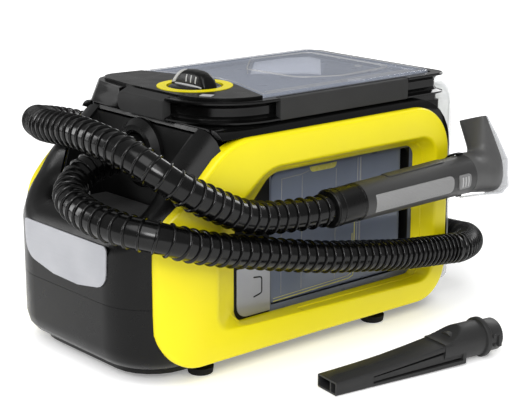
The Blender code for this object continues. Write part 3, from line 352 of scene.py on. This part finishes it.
def dense_route(stops, spacing):
    """Points spacing apart on a smoothed curve through the stops, and the curve's length, in millimetres."""
    dense = smooth_table(stops, ROUTE_PIECES)
    for _ in range(ROUTE_SMOOTHING):
        inner = [(p + 2 * q + r) / 4 for p, q, r in zip(dense, dense[1:], dense[2:])]
        dense = [dense[0], *inner, dense[-1]]
    lengths = [0.0]
    for a, b in zip(dense, dense[1:]):
        lengths.append(lengths[-1] + (b - a).length)
    pieces = round(lengths[-1] / spacing)
    points = []
    k = 0
    for i in range(pieces + 1):
        want = lengths[-1] * i / pieces
        while k < len(dense) - 2 and lengths[k + 1] < want:
            k += 1
        share = (want - lengths[k]) / (lengths[k + 1] - lengths[k])
        points.append(dense[k].lerp(dense[k + 1], share))
    return points, lengths[-1]


RIB_RADIUS = 16.1
FLAT_RADIUS = 14.2
HOSE_SIDES = 32
PLAIN_END = 8
# One bead: how far along it, and the share of its full height there.
BEAD = [(0.0, 0.0), (0.3, 0.6), (0.75, 0.95), (1.3, 1.0), (1.85, 0.95), (2.3, 0.6), (2.6, 0.0)]
BEAD_WIDTH = 2.6
# Distance along the hose, and from one bead to the next there.
BEAD_PITCH = [(0, 8), (100, 10.5), (230, 12.3), (400, 12), (470, 9.5), (540, 7), (610, 5.8), (1060, 5.8),
              (1200, 8.5), (1450, 9.5), (1620, 11.5), (1800, 12.5), (1900, 10.5)]


def make_hose():
    """The hose: beads round a tube, spaced as the photo shows it stretched or squeezed."""
    step = 0.5
    line, length = dense_route(HOSE_STOPS, step)
    tangents = [(b - a).normalized() for a, b in zip([line[0], *line], [*line[1:], line[-1]])]
    tangents[0] = (line[1] - line[0]).normalized()
    sides = [Vector((1, 0, 0))]
    for a, b in zip(tangents, tangents[1:]):
        turn = a.rotation_difference(b)
        sides.append((turn @ sides[-1]).normalized())
    rings = []
    place = 0.0
    total = (len(line) - 1) * step
    while place < total - PLAIN_END:
        pitch = between(place, BEAD_PITCH)
        for along, high in BEAD:
            rings.append((place + along, FLAT_RADIUS + (RIB_RADIUS - FLAT_RADIUS) * high))
        rings.append((place + (BEAD_WIDTH + pitch) / 2, FLAT_RADIUS + 0.05))
        place += pitch
    rings.append((total, FLAT_RADIUS))
    rows = []
    for spot, radius in rings:
        i = min(len(line) - 2, int(spot / step))
        centre = line[i].lerp(line[i + 1], min(1.0, spot / step - i))
        along, side = tangents[i], sides[i]
        other = along.cross(side)
        ring = []
        for k in range(HOSE_SIDES):
            angle = 2 * math.pi * k / HOSE_SIDES
            ring.append(centre + (side * math.cos(angle) + other * math.sin(angle)) * radius)
        rows.append(ring)
    bm = bmesh.new()
    skin(bm, rows)
    obj = add("hose_ribbed", bm, "hose", "machine", 50, ["suction_hose"])
    path = [list(at(*line[i])) for i in range(0, len(line), 12)]
    path.append(list(at(*line[-1])))
    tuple(path[0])


make_hose()

# ---------------------------------------------------------------- outlines and strips


def rounded(corners, step=6):
    """An outline from (x, y, radius) corners, each turned into an arc of about step degrees a piece."""
    points = []
    count = len(corners)
    for i, (x, y, radius) in enumerate(corners):
        here = Vector((x, y))
        back = (Vector(corners[i - 1][:2]) - here).normalized()
        ahead = (Vector(corners[(i + 1) % count][:2]) - here).normalized()
        if radius <= 0:
            points.append((x, y))
            continue
        half = back.angle(ahead) / 2
        centre = here + (back + ahead).normalized() * (radius / math.sin(half))
        first = here + back * (radius / math.tan(half)) - centre
        last = here + ahead * (radius / math.tan(half)) - centre
        turn = first.angle_signed(last)
        pieces = max(1, round(abs(math.degrees(turn)) / step))
        for k in range(pieces + 1):
            arm = first.copy()
            arm.rotate(Matrix.Rotation(-turn * k / pieces, 2))
            points.append(tuple(centre + arm))
    return points


def inset(outline, by):
    """A closed outline moved inwards by a distance. The outline runs anticlockwise."""
    moved = []
    count = len(outline)
    for i in range(count):
        before, here, after = (Vector(outline[j % count]) for j in (i - 1, i, i + 1))
        a = (here - before).normalized()
        b = (after - here).normalized()
        way = Vector((-a.y, a.x)) + Vector((-b.y, b.x))
        way.normalize()
        lean = max(0.4, way.dot(Vector((-a.y, a.x))))
        moved.append(tuple(here + way * (by / lean)))
    return moved


def plate(bm, outline, low, high, edge=0.5, place=None):
    """A plate with a softened top edge. The outline runs anticlockwise in the plate's own plane."""
    place = place or (lambda u, v, w: (u, v, w))
    rings = [outline, outline, inset(outline, edge * 0.3), inset(outline, edge)]
    heights = [low, high - edge, high - edge * 0.3, high]
    skin(bm, [[place(u, v, h) for u, v in ring] for ring, h in zip(rings, heights)])


def ribbon(bm, path, width, low, high, closed=False, place=None):
    """A raised line of even width along a path."""
    place = place or (lambda u, v, w: (u, v, w))
    points = [Vector(p) for p in path]
    count = len(points)
    left, right = [], []
    for i in range(count):
        before = points[i - 1] if closed or i else points[i]
        after = points[(i + 1) % count] if closed or i < count - 1 else points[i]
        way = (after - before).normalized()
        side = Vector((-way.y, way.x)) * (width / 2)
        left.append(points[i] + side)
        right.append(points[i] - side)
    rings = []
    for a, b in zip(left, right):
        section = ((a, low), (a.lerp(b, 0.25), high), (a.lerp(b, 0.75), high), (b, low))
        rings.append([place(spot.x, spot.y, height) for spot, height in section])
    skin(bm, rings, loop=closed)


def side_place(side, face):
    """Puts a plate's plane on the machine's side: it is drawn in Y and Z, and its height goes outwards."""
    return lambda u, v, w: (side * (face + w), u, v)


# ---------------------------------------------------------------- yellow shells

HALF_WIDTH = 119.5
FRONT_CORNER_R = 58.0
FRONT_CORNER_Y = -163.0
SHELL_DEPTH = 14.0
WINDOW_DEPTH = 20.0
SHELL_WALL = 2.5
PANEL_CENTRE = (10.0, 115.0)
PANEL = [(-196.7, 15, 44), (180.4, 15, 40), (180.4, 224.8, 50), (-115, 224.8, 68), (-196.7, 149.8, 45)]
WINDOW_OUTER = [(-133, 45, 16), (161, 37, 22), (161, 193.7, 22), (-70, 193.7, 45), (-133, 141, 35)]
WINDOW_FLOOR = [(-97, 42, 9), (147, 42, 9), (147, 182, 12), (-50, 182, 28), (-97, 132, 22)]
SHELL_RAYS = 300


def ray_outline(corners, rays):
    """Where rays from the panel's centre meet an outline."""
    ring = [Vector(point) for point in rounded(corners, 2)]
    centre = Vector(PANEL_CENTRE)
    found = []
    for k in range(rays):
        angle = 2 * math.pi * k / rays
        way = Vector((math.cos(angle), math.sin(angle)))
        side = Vector((-way.y, way.x))
        best = 0.0
        for a, b in zip(ring, ring[1:] + ring[:1]):
            from_a = (a - centre).dot(side)
            from_b = (b - centre).dot(side)
            if from_a * from_b > 0 or from_a == from_b:
                continue
            hit = a.lerp(b, from_a / (from_a - from_b)) - centre
            best = max(best, hit.dot(way))
        found.append(centre + way * best)
    return found


def nose_wrap(y):
    """How far the side shell's face curves inwards where it meets the rounded nose."""
    into = min(0.0, y - FRONT_CORNER_Y)
    return FRONT_CORNER_R - math.sqrt(FRONT_CORNER_R**2 - min(into**2, 0.6 * FRONT_CORNER_R**2))


def make_shell(side):
    """The yellow shell: rounded rim, soft edge round the window, and a sloped wall with a small step."""
    rows = []
    face = HALF_WIDTH
    back = HALF_WIDTH - WINDOW_DEPTH - 1.2
    edge = 4.0
    lip = 3.2
    for out, win, low in zip(*(ray_outline(c, SHELL_RAYS) for c in (PANEL, WINDOW_OUTER, WINDOW_FLOOR))):
        way = (out - win).normalized()
        slope = win - low
        rise = face - back - 1.0
        section = [(low, back), (low, back + 0.7), (low + slope * 0.03, back + 1.0)]
        step = low + slope * 0.36
        section.append((step, back + 1 + rise * 0.33))
        section.append((step + slope.normalized() * 1.1, back + 1.3 + rise * 0.33))
        near = low + slope * 0.9
        top = back + 1 + rise * 0.9
        for t in (0, 0.2, 0.4, 0.6, 0.8, 1):
            spot = near * (1 - t) ** 2 + win * 2 * t * (1 - t) + (win + way * lip) * t**2
            section.append((spot, top * (1 - t) ** 2 + face * 2 * t * (1 - t) + face * t**2))
        section.append((win.lerp(out, 0.5), face))
        for t in (0, 18, 36, 54, 72, 90):
            a = math.radians(t)
            section.append((out - way * edge * (1 - math.sin(a)), face - edge * (1 - math.cos(a))))
        section += [(out, face - SHELL_DEPTH), (out - way * SHELL_WALL, face - SHELL_DEPTH)]
        section.append((out - way * SHELL_WALL, face - edge - SHELL_WALL))
        section += [(win + way * SHELL_WALL, face - SHELL_WALL), (low + way * SHELL_WALL, back)]
        rows.append([(side * (x - nose_wrap(p.x)), p.x, p.y) for p, x in section])
    bm = bmesh.new()
    skin(bm, rows, loop=True)
    name = "side_shell_right" if side > 0 else "side_shell_left"
    add(name + "_moulded", bm, "yellow", "machine", 22, [name])


for hand in (-1, 1):
    make_shell(hand)

# ---------------------------------------------------------------- tank windows and labels


TANK_WALL_X = 94.5
LABEL_X = 98.9
WALL_LINE = (-0.2, 0.4)
# The lines' Y on the tank's wall, with their width and the height of their top.
TANK_LINES = [(70.5, 1.6, 228), (74.5, 2.4, 228), (-33, 0.9, 172), (-6, 0.7, 172), (40, 0.7, 172)]
TANK_STEP = [(-33, 172), (-6, 173), (4, 175)]
TANK_CORNER = [(-43, 49.5), (10, 51), (60, 52.5), (66, 54.5), (67, 60), (67.5, 118)]
TANK_INNER_CORNER = [(-43, 52.6), (10, 54), (58, 55.4), (62.8, 57.5), (63.8, 62), (64.3, 100)]
LATCH_TAB = [(6, 173, 5), (40, 173, 5), (43, 186, 2), (3, 186, 2)]
# Opposite corners, in Y and Z, of the plates round the tank that close the window.
FRAME_PLATES = [((-51, 36), (155, 48.4)), ((-51, 179.7), (155, 192)), ((142.4, 48.4), (155, 179.7)),
                ((-51, 48.4), (-48.8, 179.7))]
BATTERY_MARK = [(-72, 81.5), (-64, 80.6), (-62, 79.8), (-61.4, 78.2), (-61.4, 66.2), (-62, 64.4),
                (-64, 63.4), (-72, 61.6)]


def make_window_details():
    """The moulded lines, coloured light as a painted highlight, the amber latch and the printed battery
    outline seen through each side window.
    """
    for side in (-1, 1):
        tag = "right" if side > 0 else "left"
        tank = side_place(side, TANK_WALL_X)
        bm = bmesh.new()
        # The tank's moulded ribs, coloured light as a painted highlight.
        for y, width, top in TANK_LINES:
            ribbon(bm, [(y, 56), (y + 0.4, 120), (y + 0.8, top)], width, *WALL_LINE, place=tank)
        ribbon(bm, TANK_STEP, 0.9, *WALL_LINE, place=tank)
        add("tank_ribs_" + tag, bm, "painted_highlight", "dirty_water_tank", 30)
        bm = bmesh.new()
        ribbon(bm, TANK_CORNER, 1.3, *WALL_LINE, place=tank)
        ribbon(bm, TANK_INNER_CORNER, 0.6, *WALL_LINE, place=tank)
        plate(bm, rounded(LATCH_TAB, 15), -0.3, 0.4, 0.2, tank)
        add("tank_latch_" + tag, bm, "amber", "dirty_water_tank", 30)
        bm = bmesh.new()
        for (y0, z0), (y1, z1) in FRAME_PLATES:
            plate(bm, [(y0, z0), (y1, z0), (y1, z1), (y0, z1)], 97.75, 98.15, 0.1, side_place(side, 0))
        add("window_frame_" + tag, bm, "slate", "machine", 30)
        bm = bmesh.new()
        ribbon(bm, BATTERY_MARK, 1.9, -0.05, 0.12, place=side_place(side, LABEL_X))
        add("battery_mark_" + tag, bm, "ink", "machine", 30)


make_window_details()

# ---------------------------------------------------------------- lid

DECK_TOP = 257.5
# The clear skin's section: how far in from the lid's outline, and the height.
LID_OUTSIDE = [(0, 247), (0, 254.6), (0.3, 256), (1.2, 257.1), (2.6, 257.5), (7, 257.4), (7.8, 256.5),
               (9, 256.3)]
LID_INSIDE = [(9.4, 254.3), (2.8, 254.6), (2.6, 247)]
TRAY_TOP = 251.05
# Under the clear lid: a near-white panel of painted light, and a small patch of painted highlight.
PAINTED_LIGHT_PANEL = [(-32, 36), (5, 84), (18, 90), (-50, 153), (-72, 156), (-84, 132), (-84, 86)]
PAINTED_HIGHLIGHT_PATCH = [(62, 86), (72, 84), (76, 98), (66, 102)]
# A darker panel under the clear lid: painted shade.
PAINTED_SHADE_PANEL = [(22, 88), (44, 104), (42, 156), (-44, 156)]
BOWL = [(-84, 80, 10), (-34, 32, 16), (40, 38, 26), (60, 80, 26), (52, 160, 14), (-80, 164, 14)]


def lid_outline(shrink):
    """The lid seen from above, anticlockwise, with its front edge bowed to the rear."""
    half = 96.2 - shrink
    front = -57.5 + shrink
    rear = 176.7 - shrink
    front_edge = [(-half, front, 1.5), (0, front + 30, 100), (half, front, 1.5)]
    return rounded([*front_edge, (half, rear, 12), (-half, rear, 12)], 5)


def make_lid():
    """The clear lid: a thin skin with a rolled edge, over an inner tray with a panel of painted light, a
    patch of painted highlight and a panel of painted shade.
    """
    bm = bmesh.new()
    rings = [[(x, y, z) for x, y in lid_outline(shrink)] for shrink, z in LID_OUTSIDE + LID_INSIDE]
    top = [[(x, y, z) for x, y in lid_outline(9.1)] for z in (256.3, 254.4)]
    skin(bm, rings, loop=True)
    skin(bm, top)
    add("tank_lid_clear", bm, "lid", "lid", 40, ["tank_lid"])
    bm = bmesh.new()
    plate(bm, lid_outline(10), 249.4, 251, 0.5)
    add("lid_tray", bm, "tray", "lid", 30)
    bm = bmesh.new()
    # Painted light and a painted highlight under the clear lid.
    for outline in (PAINTED_LIGHT_PANEL, PAINTED_HIGHLIGHT_PATCH):
        plate(bm, outline, TRAY_TOP, 252.4, 0.4)
    add("lid_painted_light_panel", bm, "painted_light", "lid", 30)
    bm = bmesh.new()
    # Painted shade under the clear lid.
    plate(bm, PAINTED_SHADE_PANEL, TRAY_TOP, 252.0, 0.4)
    add("lid_painted_shade_panel", bm, "slate", "lid", 30)
    # Ridges on the clear lid, coloured light as a painted highlight.
    bm = bmesh.new()
    bowl = rounded(BOWL, 9)
    ribbon(bm, bowl, 1.6, 256.2, 256.9, closed=True)
    ribbon(bm, inset(bowl, 3.4), 0.7, 256.2, 256.7, closed=True)
    ribbon(bm, lid_outline(5.2), 0.7, 257.2, 257.8, closed=True)
    ribbon(bm, [(-80, 76), (-46, 44), (-12, 15)], 0.9, 256.2, 256.8)
    for x in (78, 82.5):
        ribbon(bm, [(x, -40), (x, 40), (x - 1, 158)], 0.7, 256.2, 256.8)
    ring = [(26 + 4 * math.cos(a * math.pi / 12), 137 + 4 * math.sin(a * math.pi / 12)) for a in range(24)]
    ribbon(bm, ring, 0.9, 256.2, 256.7, closed=True)
    add("lid_ridges", bm, "painted_highlight", "lid", 30)


make_lid()

# ---------------------------------------------------------------- mode knob

KNOB_AT = (12.0, -73.0)
# The turned disc under the grip: radius, and height above the deck.
KNOB_DISC = [(0, 1.4), (21, 1.4), (22.6, 1.1), (24.6, 0.4), (26, -0.4), (26, -2.2), (9, -2.2), (9, -14),
             (0, -14)]
# The domed grip: place along it, height and half width.
GRIP = [(-26.3, 1.0, 8.6), (-25.5, 5, 9.4), (-22, 9.6, 9.7), (-17, 13.4, 9.9), (-11, 15.2, 10), (0, 15.8, 10),
        (10, 15.4, 9.9), (17, 13.8, 9.6), (21.5, 10.6, 9.2), (24.5, 5.5, 8.2), (26, 1.0, 6)]


def grip_at(u):
    """The grip's height and half width at a place along it."""
    for (a, high_a, half_a), (b, high_b, half_b) in zip(GRIP, GRIP[1:]):
        if u <= b:
            t = (u - a) / (b - a)
            return high_a + (high_b - high_a) * t, half_a + (half_b - half_a) * t
    return GRIP[-1][1:]


def grip_point(u, angle, proud=0.0):
    high, half = grip_at(u)
    c, s = math.cos(angle), math.sin(angle)
    across = math.copysign(abs(c) ** 0.6, c) * (half + proud)
    up = abs(s) ** 0.75 * (high + proud)
    return (KNOB_AT[0] + u, KNOB_AT[1] - across, DECK_TOP + up)


def make_knob():
    """The mode knob: a disc with a domed grip, and the light pointer and lines on it."""
    bm = bmesh.new()
    x, y = KNOB_AT
    rings = []
    for r, h in KNOB_DISC:
        r = max(r, 0.05)
        rings.append([(x + r * math.cos(a * math.pi / 32), y + r * math.sin(a * math.pi / 32), DECK_TOP + h)
                      for a in range(64)])
    skin(bm, rings)
    rings = []
    for k in range(49):
        u = GRIP[0][0] + (GRIP[-1][0] - GRIP[0][0]) * k / 48
        rings.append([grip_point(u, math.pi * j / 20) for j in range(21)])
    skin(bm, rings)
    add("mode_knob_domed", bm, "satin_black", "knob", 40, ["mode_knob"])
    bm = bmesh.new()
    rings = []
    for j in range(16):
        angle = math.radians(8 + 76 * j / 15)
        start = -25.6 + 11 * math.sin(angle) ** 1.2
        rings.append([grip_point(start + w, angle, p) for w, p in ((0, 0), (0.4, 0.7), (6.2, 0.7), (6.6, 0))])
    skin(bm, rings)
    rings = []
    skirt = ((0.5, 0.2), (1, 1.0), (4.5, 0.9), (6, 0.1))
    for k in range(20):
        u = -18 + 40 * k / 19
        rings.append([grip_point(u, math.radians(a), p) for a, p in skirt])
    skin(bm, rings)
    stroke = ((-0.7, 0), (-0.3, 0.7), (0.3, 0.7), (0.7, 0))
    for u in (-1, 6, 13):
        rings = []
        for j in range(8):
            angle = math.radians(12 + 30 * j / 7)
            rings.append([grip_point(u + w, angle, p) for w, p in stroke])
        skin(bm, rings)
    add("knob_pointer", bm, "light_grey", "knob", 40)


make_knob()

# ---------------------------------------------------------------- wand and nozzle

WAND_LEVEL_Y = 80.0
COLLAR_Y = 175.0
COLLAR_R = 20.6
NOZZLE_ROLL = math.radians(17.5)
GRIP_ROLL = math.radians(-3)
WAND_PITCH = Matrix.Rotation(math.atan(WAND_RISE), 3, "X")


def on_wand(roll=0.0):
    """Takes a point in the wand's own frame, rolled about its axis, to machine millimetres."""
    turn = WAND_PITCH @ Matrix.Rotation(-roll, 3, "Y")
    base = Vector((WAND_X, 0, WAND_Z - WAND_LEVEL_Y * WAND_RISE))
    return lambda x, y, z: tuple(base + turn @ Vector((x, y, z)))


def squircle(half, tall, roundness, count=48):
    """A closed section between an ellipse, at a roundness of 1, and a box."""
    points = []
    power = 0.5 + 0.5 * roundness
    for k in range(count):
        angle = 2 * math.pi * (k + 0.5) / count
        c, s = math.cos(angle), math.sin(angle)
        points.append((half * math.copysign(abs(c) ** power, c), tall * math.copysign(abs(s) ** power, s)))
    return points


# The head's sections: the inner edge's Y and height, the outer edge's, the half width, and the roundness.
NOZZLE_SECTIONS = [
    (COLLAR_Y + 0.3, COLLAR_R, COLLAR_Y + 0.3, -COLLAR_R, COLLAR_R, 1.0), (183, 21.6, 184, -21, 20.6, 0.95),
    (190, 20.5, 200, -23.5, 19.6, 0.85), (195, 21.5, 216, -25, 18.2, 0.7), (198, 23.5, 226, -14.3, 16.5, 0.6),
    (199.5, 27.7, 229.5, 4, 15.4, 0.5), (201, 38, 222, 31, 16.3, 0.4), (203, 54.7, 213.5, 53.7, 18, 0.3),
]


def make_nozzle():
    """The nozzle head: one smooth hollow skin from the round collar to the flat mouth."""
    place = on_wand(NOZZLE_ROLL)
    table = smooth_table(NOZZLE_SECTIONS, 6)

    def ring(row, inwards):
        inner, outer = Vector((row[0], row[1])), Vector((row[2], row[3]))
        middle = (inner + outer) / 2
        reach = (inner - outer).length / 2 - inwards
        way = (inner - outer).normalized()
        points = []
        for x, along in squircle(row[4] - inwards, reach, min(1.0, row[5])):
            spot = middle + way * along
            points.append(place(x, spot.x, spot.y))
        return points

    bm = bmesh.new()
    outside = [ring(row, 0.5 if row is table[-1] else 0) for row in table]
    inside = [ring(row, 1.8) for row in table[::-1]]
    skin(bm, outside + inside, loop=True)
    add("nozzle_moulded", bm, "nozzle_grey", "nozzle", 50, ["nozzle_body"])


def make_wand_details():
    """Ribs on the release button, and the seam and end roll of the cuff."""
    place = on_wand(GRIP_ROLL)
    bm = bmesh.new()
    for y in (152.6, 156.7, 160.8):
        path = [(y, -5.2), (y, 0), (y, 5.2)]
        ribbon(bm, path, 1.5, 21.2, 22.55, place=lambda u, v, w: place(math.sqrt(w * w - v * v), u, v))
    add("button_ribs", bm, "light_grey", "nozzle_release", 30)
    place_round = on_wand()

    def circle(r, y):
        turns = [t * math.pi / 32 for t in range(64)]
        return [place_round(r * math.cos(turn), y, r * math.sin(turn)) for turn in turns]

    bm = bmesh.new()
    for y, radius, size in ((-15.2, 18.6, 0.7), (-8, 18.7, 0.5), (18.2, 18.8, 0.35)):
        rings = []
        for j in range(7):
            a = math.pi * j / 6
            rings.append(circle(radius - 0.15 + size * math.sin(a), y - size * math.cos(a)))
        rings.append(circle(radius - 1, y))
        skin(bm, rings, loop=True)
    add("cuff_beads", bm, "satin_black", "machine", 40)


make_nozzle()
make_wand_details()

# ---------------------------------------------------------------- crevice tool

TOOL_TIP = (211.0, -79.0)
TOOL_END = (240.0, 118.0)
NECK_Z = 18.6
# The wedge's stations: distance from the tip, and 1 where the side channels are cut.
WEDGE = [(0, 0), (0.6, 0), (20, 0), (42, 0), (42.4, 1), (70, 1), (100, 1), (125, 1), (148, 1), (148.4, 0),
         (152, 0)]
WEDGE_TOP = [(0, 13.1), (60, 16.4), (110, 21.8), (130, 24.6), (152, 26)]
# The tip's two mouths: their left and right edges, and the heights between which they open.
MOUTHS = ((-13.2, 4.6), (6.4, 13.2))
MOUTH_LOW = 2.0
MOUTH_HIGH = 11.5


def make_crevice():
    """The crevice tool: a flat wedge with channelled sides that runs into a round neck with a collar."""
    (x0, y0), (x1, y1) = TOOL_TIP, TOOL_END
    length = math.hypot(x1 - x0, y1 - y0)
    turn = Matrix.Rotation(-math.atan2(x1 - x0, y1 - y0), 3, "Z")

    def place(x, y, z):
        return tuple(Vector((x0, y0, 0)) + turn @ Vector((x, y, z)))

    def wedge_ring(y, deep):
        half = between(y, [(0, 15), (60, 15.2), (150, 16.6)])
        top = between(y, WEDGE_TOP)
        foot = between(y, [(0, 0.3), (100, 0.6), (150, 1.4)])
        low = between(y, [(40, foot + 3), (150, 5.5)])
        high = between(y, [(40, 10.5), (60, 12.2), (150, 21)])
        wide = max(0.4, high - low)
        cut = [(0, 0), (deep * 5, 0.1), (deep * 5, 0.14 * wide), (deep * 1.6, 0.18 * wide),
               (deep * 1.6, 0.74 * wide), (deep * 5, 0.78 * wide), (deep * 5, wide - 0.1), (0, wide)]
        side = [(half - 1, foot), (half, foot + 1)] + [(half - d, low + h) for d, h in cut]
        side += [(half, top - 1.2), (half - 0.4, top - 0.4), (half - 1.2, top)]
        return [place(x, y, z) for x, z in side] + [place(-x, y, z) for x, z in side[::-1]]

    bm = bmesh.new()
    outer = [wedge_ring(y, deep) for y, deep in WEDGE]
    skin(bm, outer[::-1], caps=False)
    bm.faces.new([bm.verts.new(at(*p)) for p in outer[-1]])
    holes = []
    for left, right in MOUTHS:
        corners = ((left, MOUTH_LOW), (right, MOUTH_LOW), (right, MOUTH_HIGH), (left, MOUTH_HIGH))
        mouth = rounded([(x, z, 0.8) for x, z in corners], 30)
        rings = [[place(x, y, z) for x, z in mouth] for y in (0, 40)]
        holes.append(rings[0])
        rows = skin(bm, rings, caps=False)
        bm.faces.new(rows[-1])
    face = bmesh.new()
    edges = []
    for outline in [outer[0], *holes]:
        verts = [face.verts.new(at(*point)) for point in outline]
        edges += [face.edges.new((verts[i - 1], verts[i])) for i in range(len(verts))]
    bmesh.ops.triangle_fill(face, use_beauty=True, edges=edges)
    data = bpy.data.meshes.new("tip_face")
    face.to_mesh(data)
    face.free()
    bm.from_mesh(data)
    bmesh.ops.remove_doubles(bm, verts=bm.verts, dist=1e-6)
    rings = []
    neck = [(126 + 1.5 * k, 17.0 + 0.03 * k) for k in range(20)]
    collar = ((22.5, 17.6), (22, 19.4), (21, 19.9), (17.5, 19.9), (16.8, 19.2), (16.4, 16.2), (1, 16),
              (0, 15.4))
    neck += [(length - back, radius) for back, radius in collar]
    for y, radius in neck:
        cut = 25.4 + 10.8 * max(0.0, min(1.0, (y - 128) / 25)) ** 1.8 if y < 153 else 99
        ring = []
        for k in range(64):
            a = 2 * math.pi * k / 64
            z = min(NECK_Z + radius * math.sin(a), cut)
            ring.append(place(radius * math.cos(a), y, max(z, 0.3)))
        rings.append(ring)
    for y, radius in ((length, 13.2), (length - 30, 13.0), (length - 60, 12.0)):
        turns = [math.pi * k / 32 for k in range(64)]
        rings.append([place(radius * math.cos(a), y, NECK_Z + radius * math.sin(a)) for a in turns])
    skin(bm, rings)
    add("crevice_moulded", bm, "tool_grey", "crevice_nozzle", 32, ["crevice_tool"])
    bm = bmesh.new()
    ribbon(bm, [(-1, 6), (-0.5, 50), (0, 96)], 0.7, -0.2, 0.25,
           place=lambda u, v, w: place(u, v, between(v, WEDGE_TOP) + w))
    ribbon(bm, [(16.2, 120), (16.6, 134), (15.4, 146)], 0.6, -0.1, 0.2,
           place=lambda u, v, w: place(u, v, 23.4 + w))
    turns = [k * math.pi / 10 for k in range(20)]
    for y, z, size in ((length - 11.5, 22, 2.2), (length - 11, 13, 1.5)):
        disc = [(y + size * math.cos(a), z + size * math.sin(a)) for a in turns]
        plate(bm, disc, 12, 16.9, 0.4, lambda u, v, w: place(w, u, v))
    near, far = length - 7, length - 3
    block = rounded([(near, 11, 0.8), (far, 11, 0.8), (far, 22, 0.8), (near, 22, 0.8)], 30)
    plate(bm, block, 12, 17.6, 0.5, lambda u, v, w: place(w, u, v))
    add("crevice_catch", bm, "tool_grey", "crevice_nozzle", 32)


make_crevice()

# ---------------------------------------------------------------- front bar and fresh tank panel


def make_front_bar():
    """The matt bar across the rim's front, with a broad chamfer along its top."""
    left, right, low, high = -38.5, 35.0, 233.3, 256.5
    bm = bmesh.new()
    rings = []
    for y, grow in ((-120.8, 0), (-129.4, 0), (-130.2, -0.4), (-130.6, -1.2)):
        top = high if y > -127 else high - (0 if y > -129 else 3.6)
        foot = [(left - grow, low - grow, 8), (right + grow, low - grow, 1.2)]
        head = [(right + grow, top + grow * 0.5, 1.2), (left - grow, top + grow * 0.5, 7)]
        shape = rounded(foot + head, 9)
        rings.append([(x, y, z) for x, z in shape])
    skin(bm, rings)
    add("front_bar_moulded", bm, "graphite", "machine", 30, ["front_bar"])


def make_fresh_panel():
    """The pale panel behind the fresh water tank's clear wall, with its drain mark and rim line coloured
    light as a painted highlight.
    """
    bm = bmesh.new()
    face = rounded([(-76, 26, 10), (76, 26, 10), (76, 224, 6), (-76, 224, 6)], 12)
    plate(bm, face, 194.5, 196, 0.5, lambda u, v, w: (u, w, v))
    add("fresh_back_panel", bm, "pale", "fresh_water_tank", 30)
    bm = bmesh.new()
    rim = rounded([(-80, 20, 12), (80, 20, 12), (80, 232, 18), (-80, 232, 18)], 10)
    # The clear tank's rim line and marks, coloured light as a painted highlight.
    ribbon(bm, rim, 1.2, 220.9, 221.6, closed=True, place=lambda u, v, w: (u, w, v))
    for z in (60, 100, 140, 180):
        ribbon(bm, [(44, z), (64, z)], 1.0, 220.9, 221.4, place=lambda u, v, w: (u, w, v))
    add("fresh_tank_lines", bm, "painted_highlight", "fresh_water_tank", 30)


make_front_bar()
make_fresh_panel()

# ---------------------------------------------------------------- studio


def make_stage():
    """White paper under the machine, and an even white world."""
    bpy.ops.mesh.primitive_plane_add(size=16, location=(0, 0, -0.0004))
    floor = bpy.context.object
    floor.name = "floor"
    paper = Finish("floor_paper", shade(250), 0.7).tint(shade(248), 3).rough(0.6, 0.8, 8).gloss(0.1)
    paper.shader.inputs["Emission Color"].default_value = (1, 1, 1, 1)
    paper.shader.inputs["Emission Strength"].default_value = 0.26
    floor.data.materials.append(paper.material)
    world = bpy.data.worlds.new("studio")
    bpy.context.scene.world = world
    world.use_nodes = True
    back = world.node_tree.nodes["Background"]
    back.inputs["Color"].default_value = (1, 1, 1, 1)
    back.inputs["Strength"].default_value = 0.38


def soft_light(name, place, target, size, power, tall=None):
    data = bpy.data.lights.new(name, "AREA")
    data.shape = "RECTANGLE"
    data.size = size
    data.size_y = tall or size
    data.energy = power
    lamp = bpy.data.objects.new(name, data)
    bpy.context.scene.collection.objects.link(lamp)
    lamp.location = place
    lamp.rotation_euler = (Vector(target) - Vector(place)).to_track_quat("-Z", "Y").to_euler()


def sun(turn, strength, spread):
    data = bpy.data.lights.new("overhead", "SUN")
    data.energy = strength
    data.angle = math.radians(spread)
    lamp = bpy.data.objects.new("overhead", data)
    lamp.rotation_euler = turn
    bpy.context.scene.collection.objects.link(lamp)


def make_lights():
    sun((math.radians(28), math.radians(22), 0), 1.75, 50)
    soft_light("key", (1.6, -1.5, 1.3), (0, 0, 0.12), 0.7, 24, 0.6)
    soft_light("left", (-1.7, -1.4, 0.9), (0, 0, 0.14), 0.35, 13, 1.3)
    soft_light("back", (-0.5, 2.0, 1.2), (0, 0, 0.2), 1.6, 18, 0.6)
    bpy.context.scene.view_settings.view_transform = "Standard"


make_stage()
make_lights()
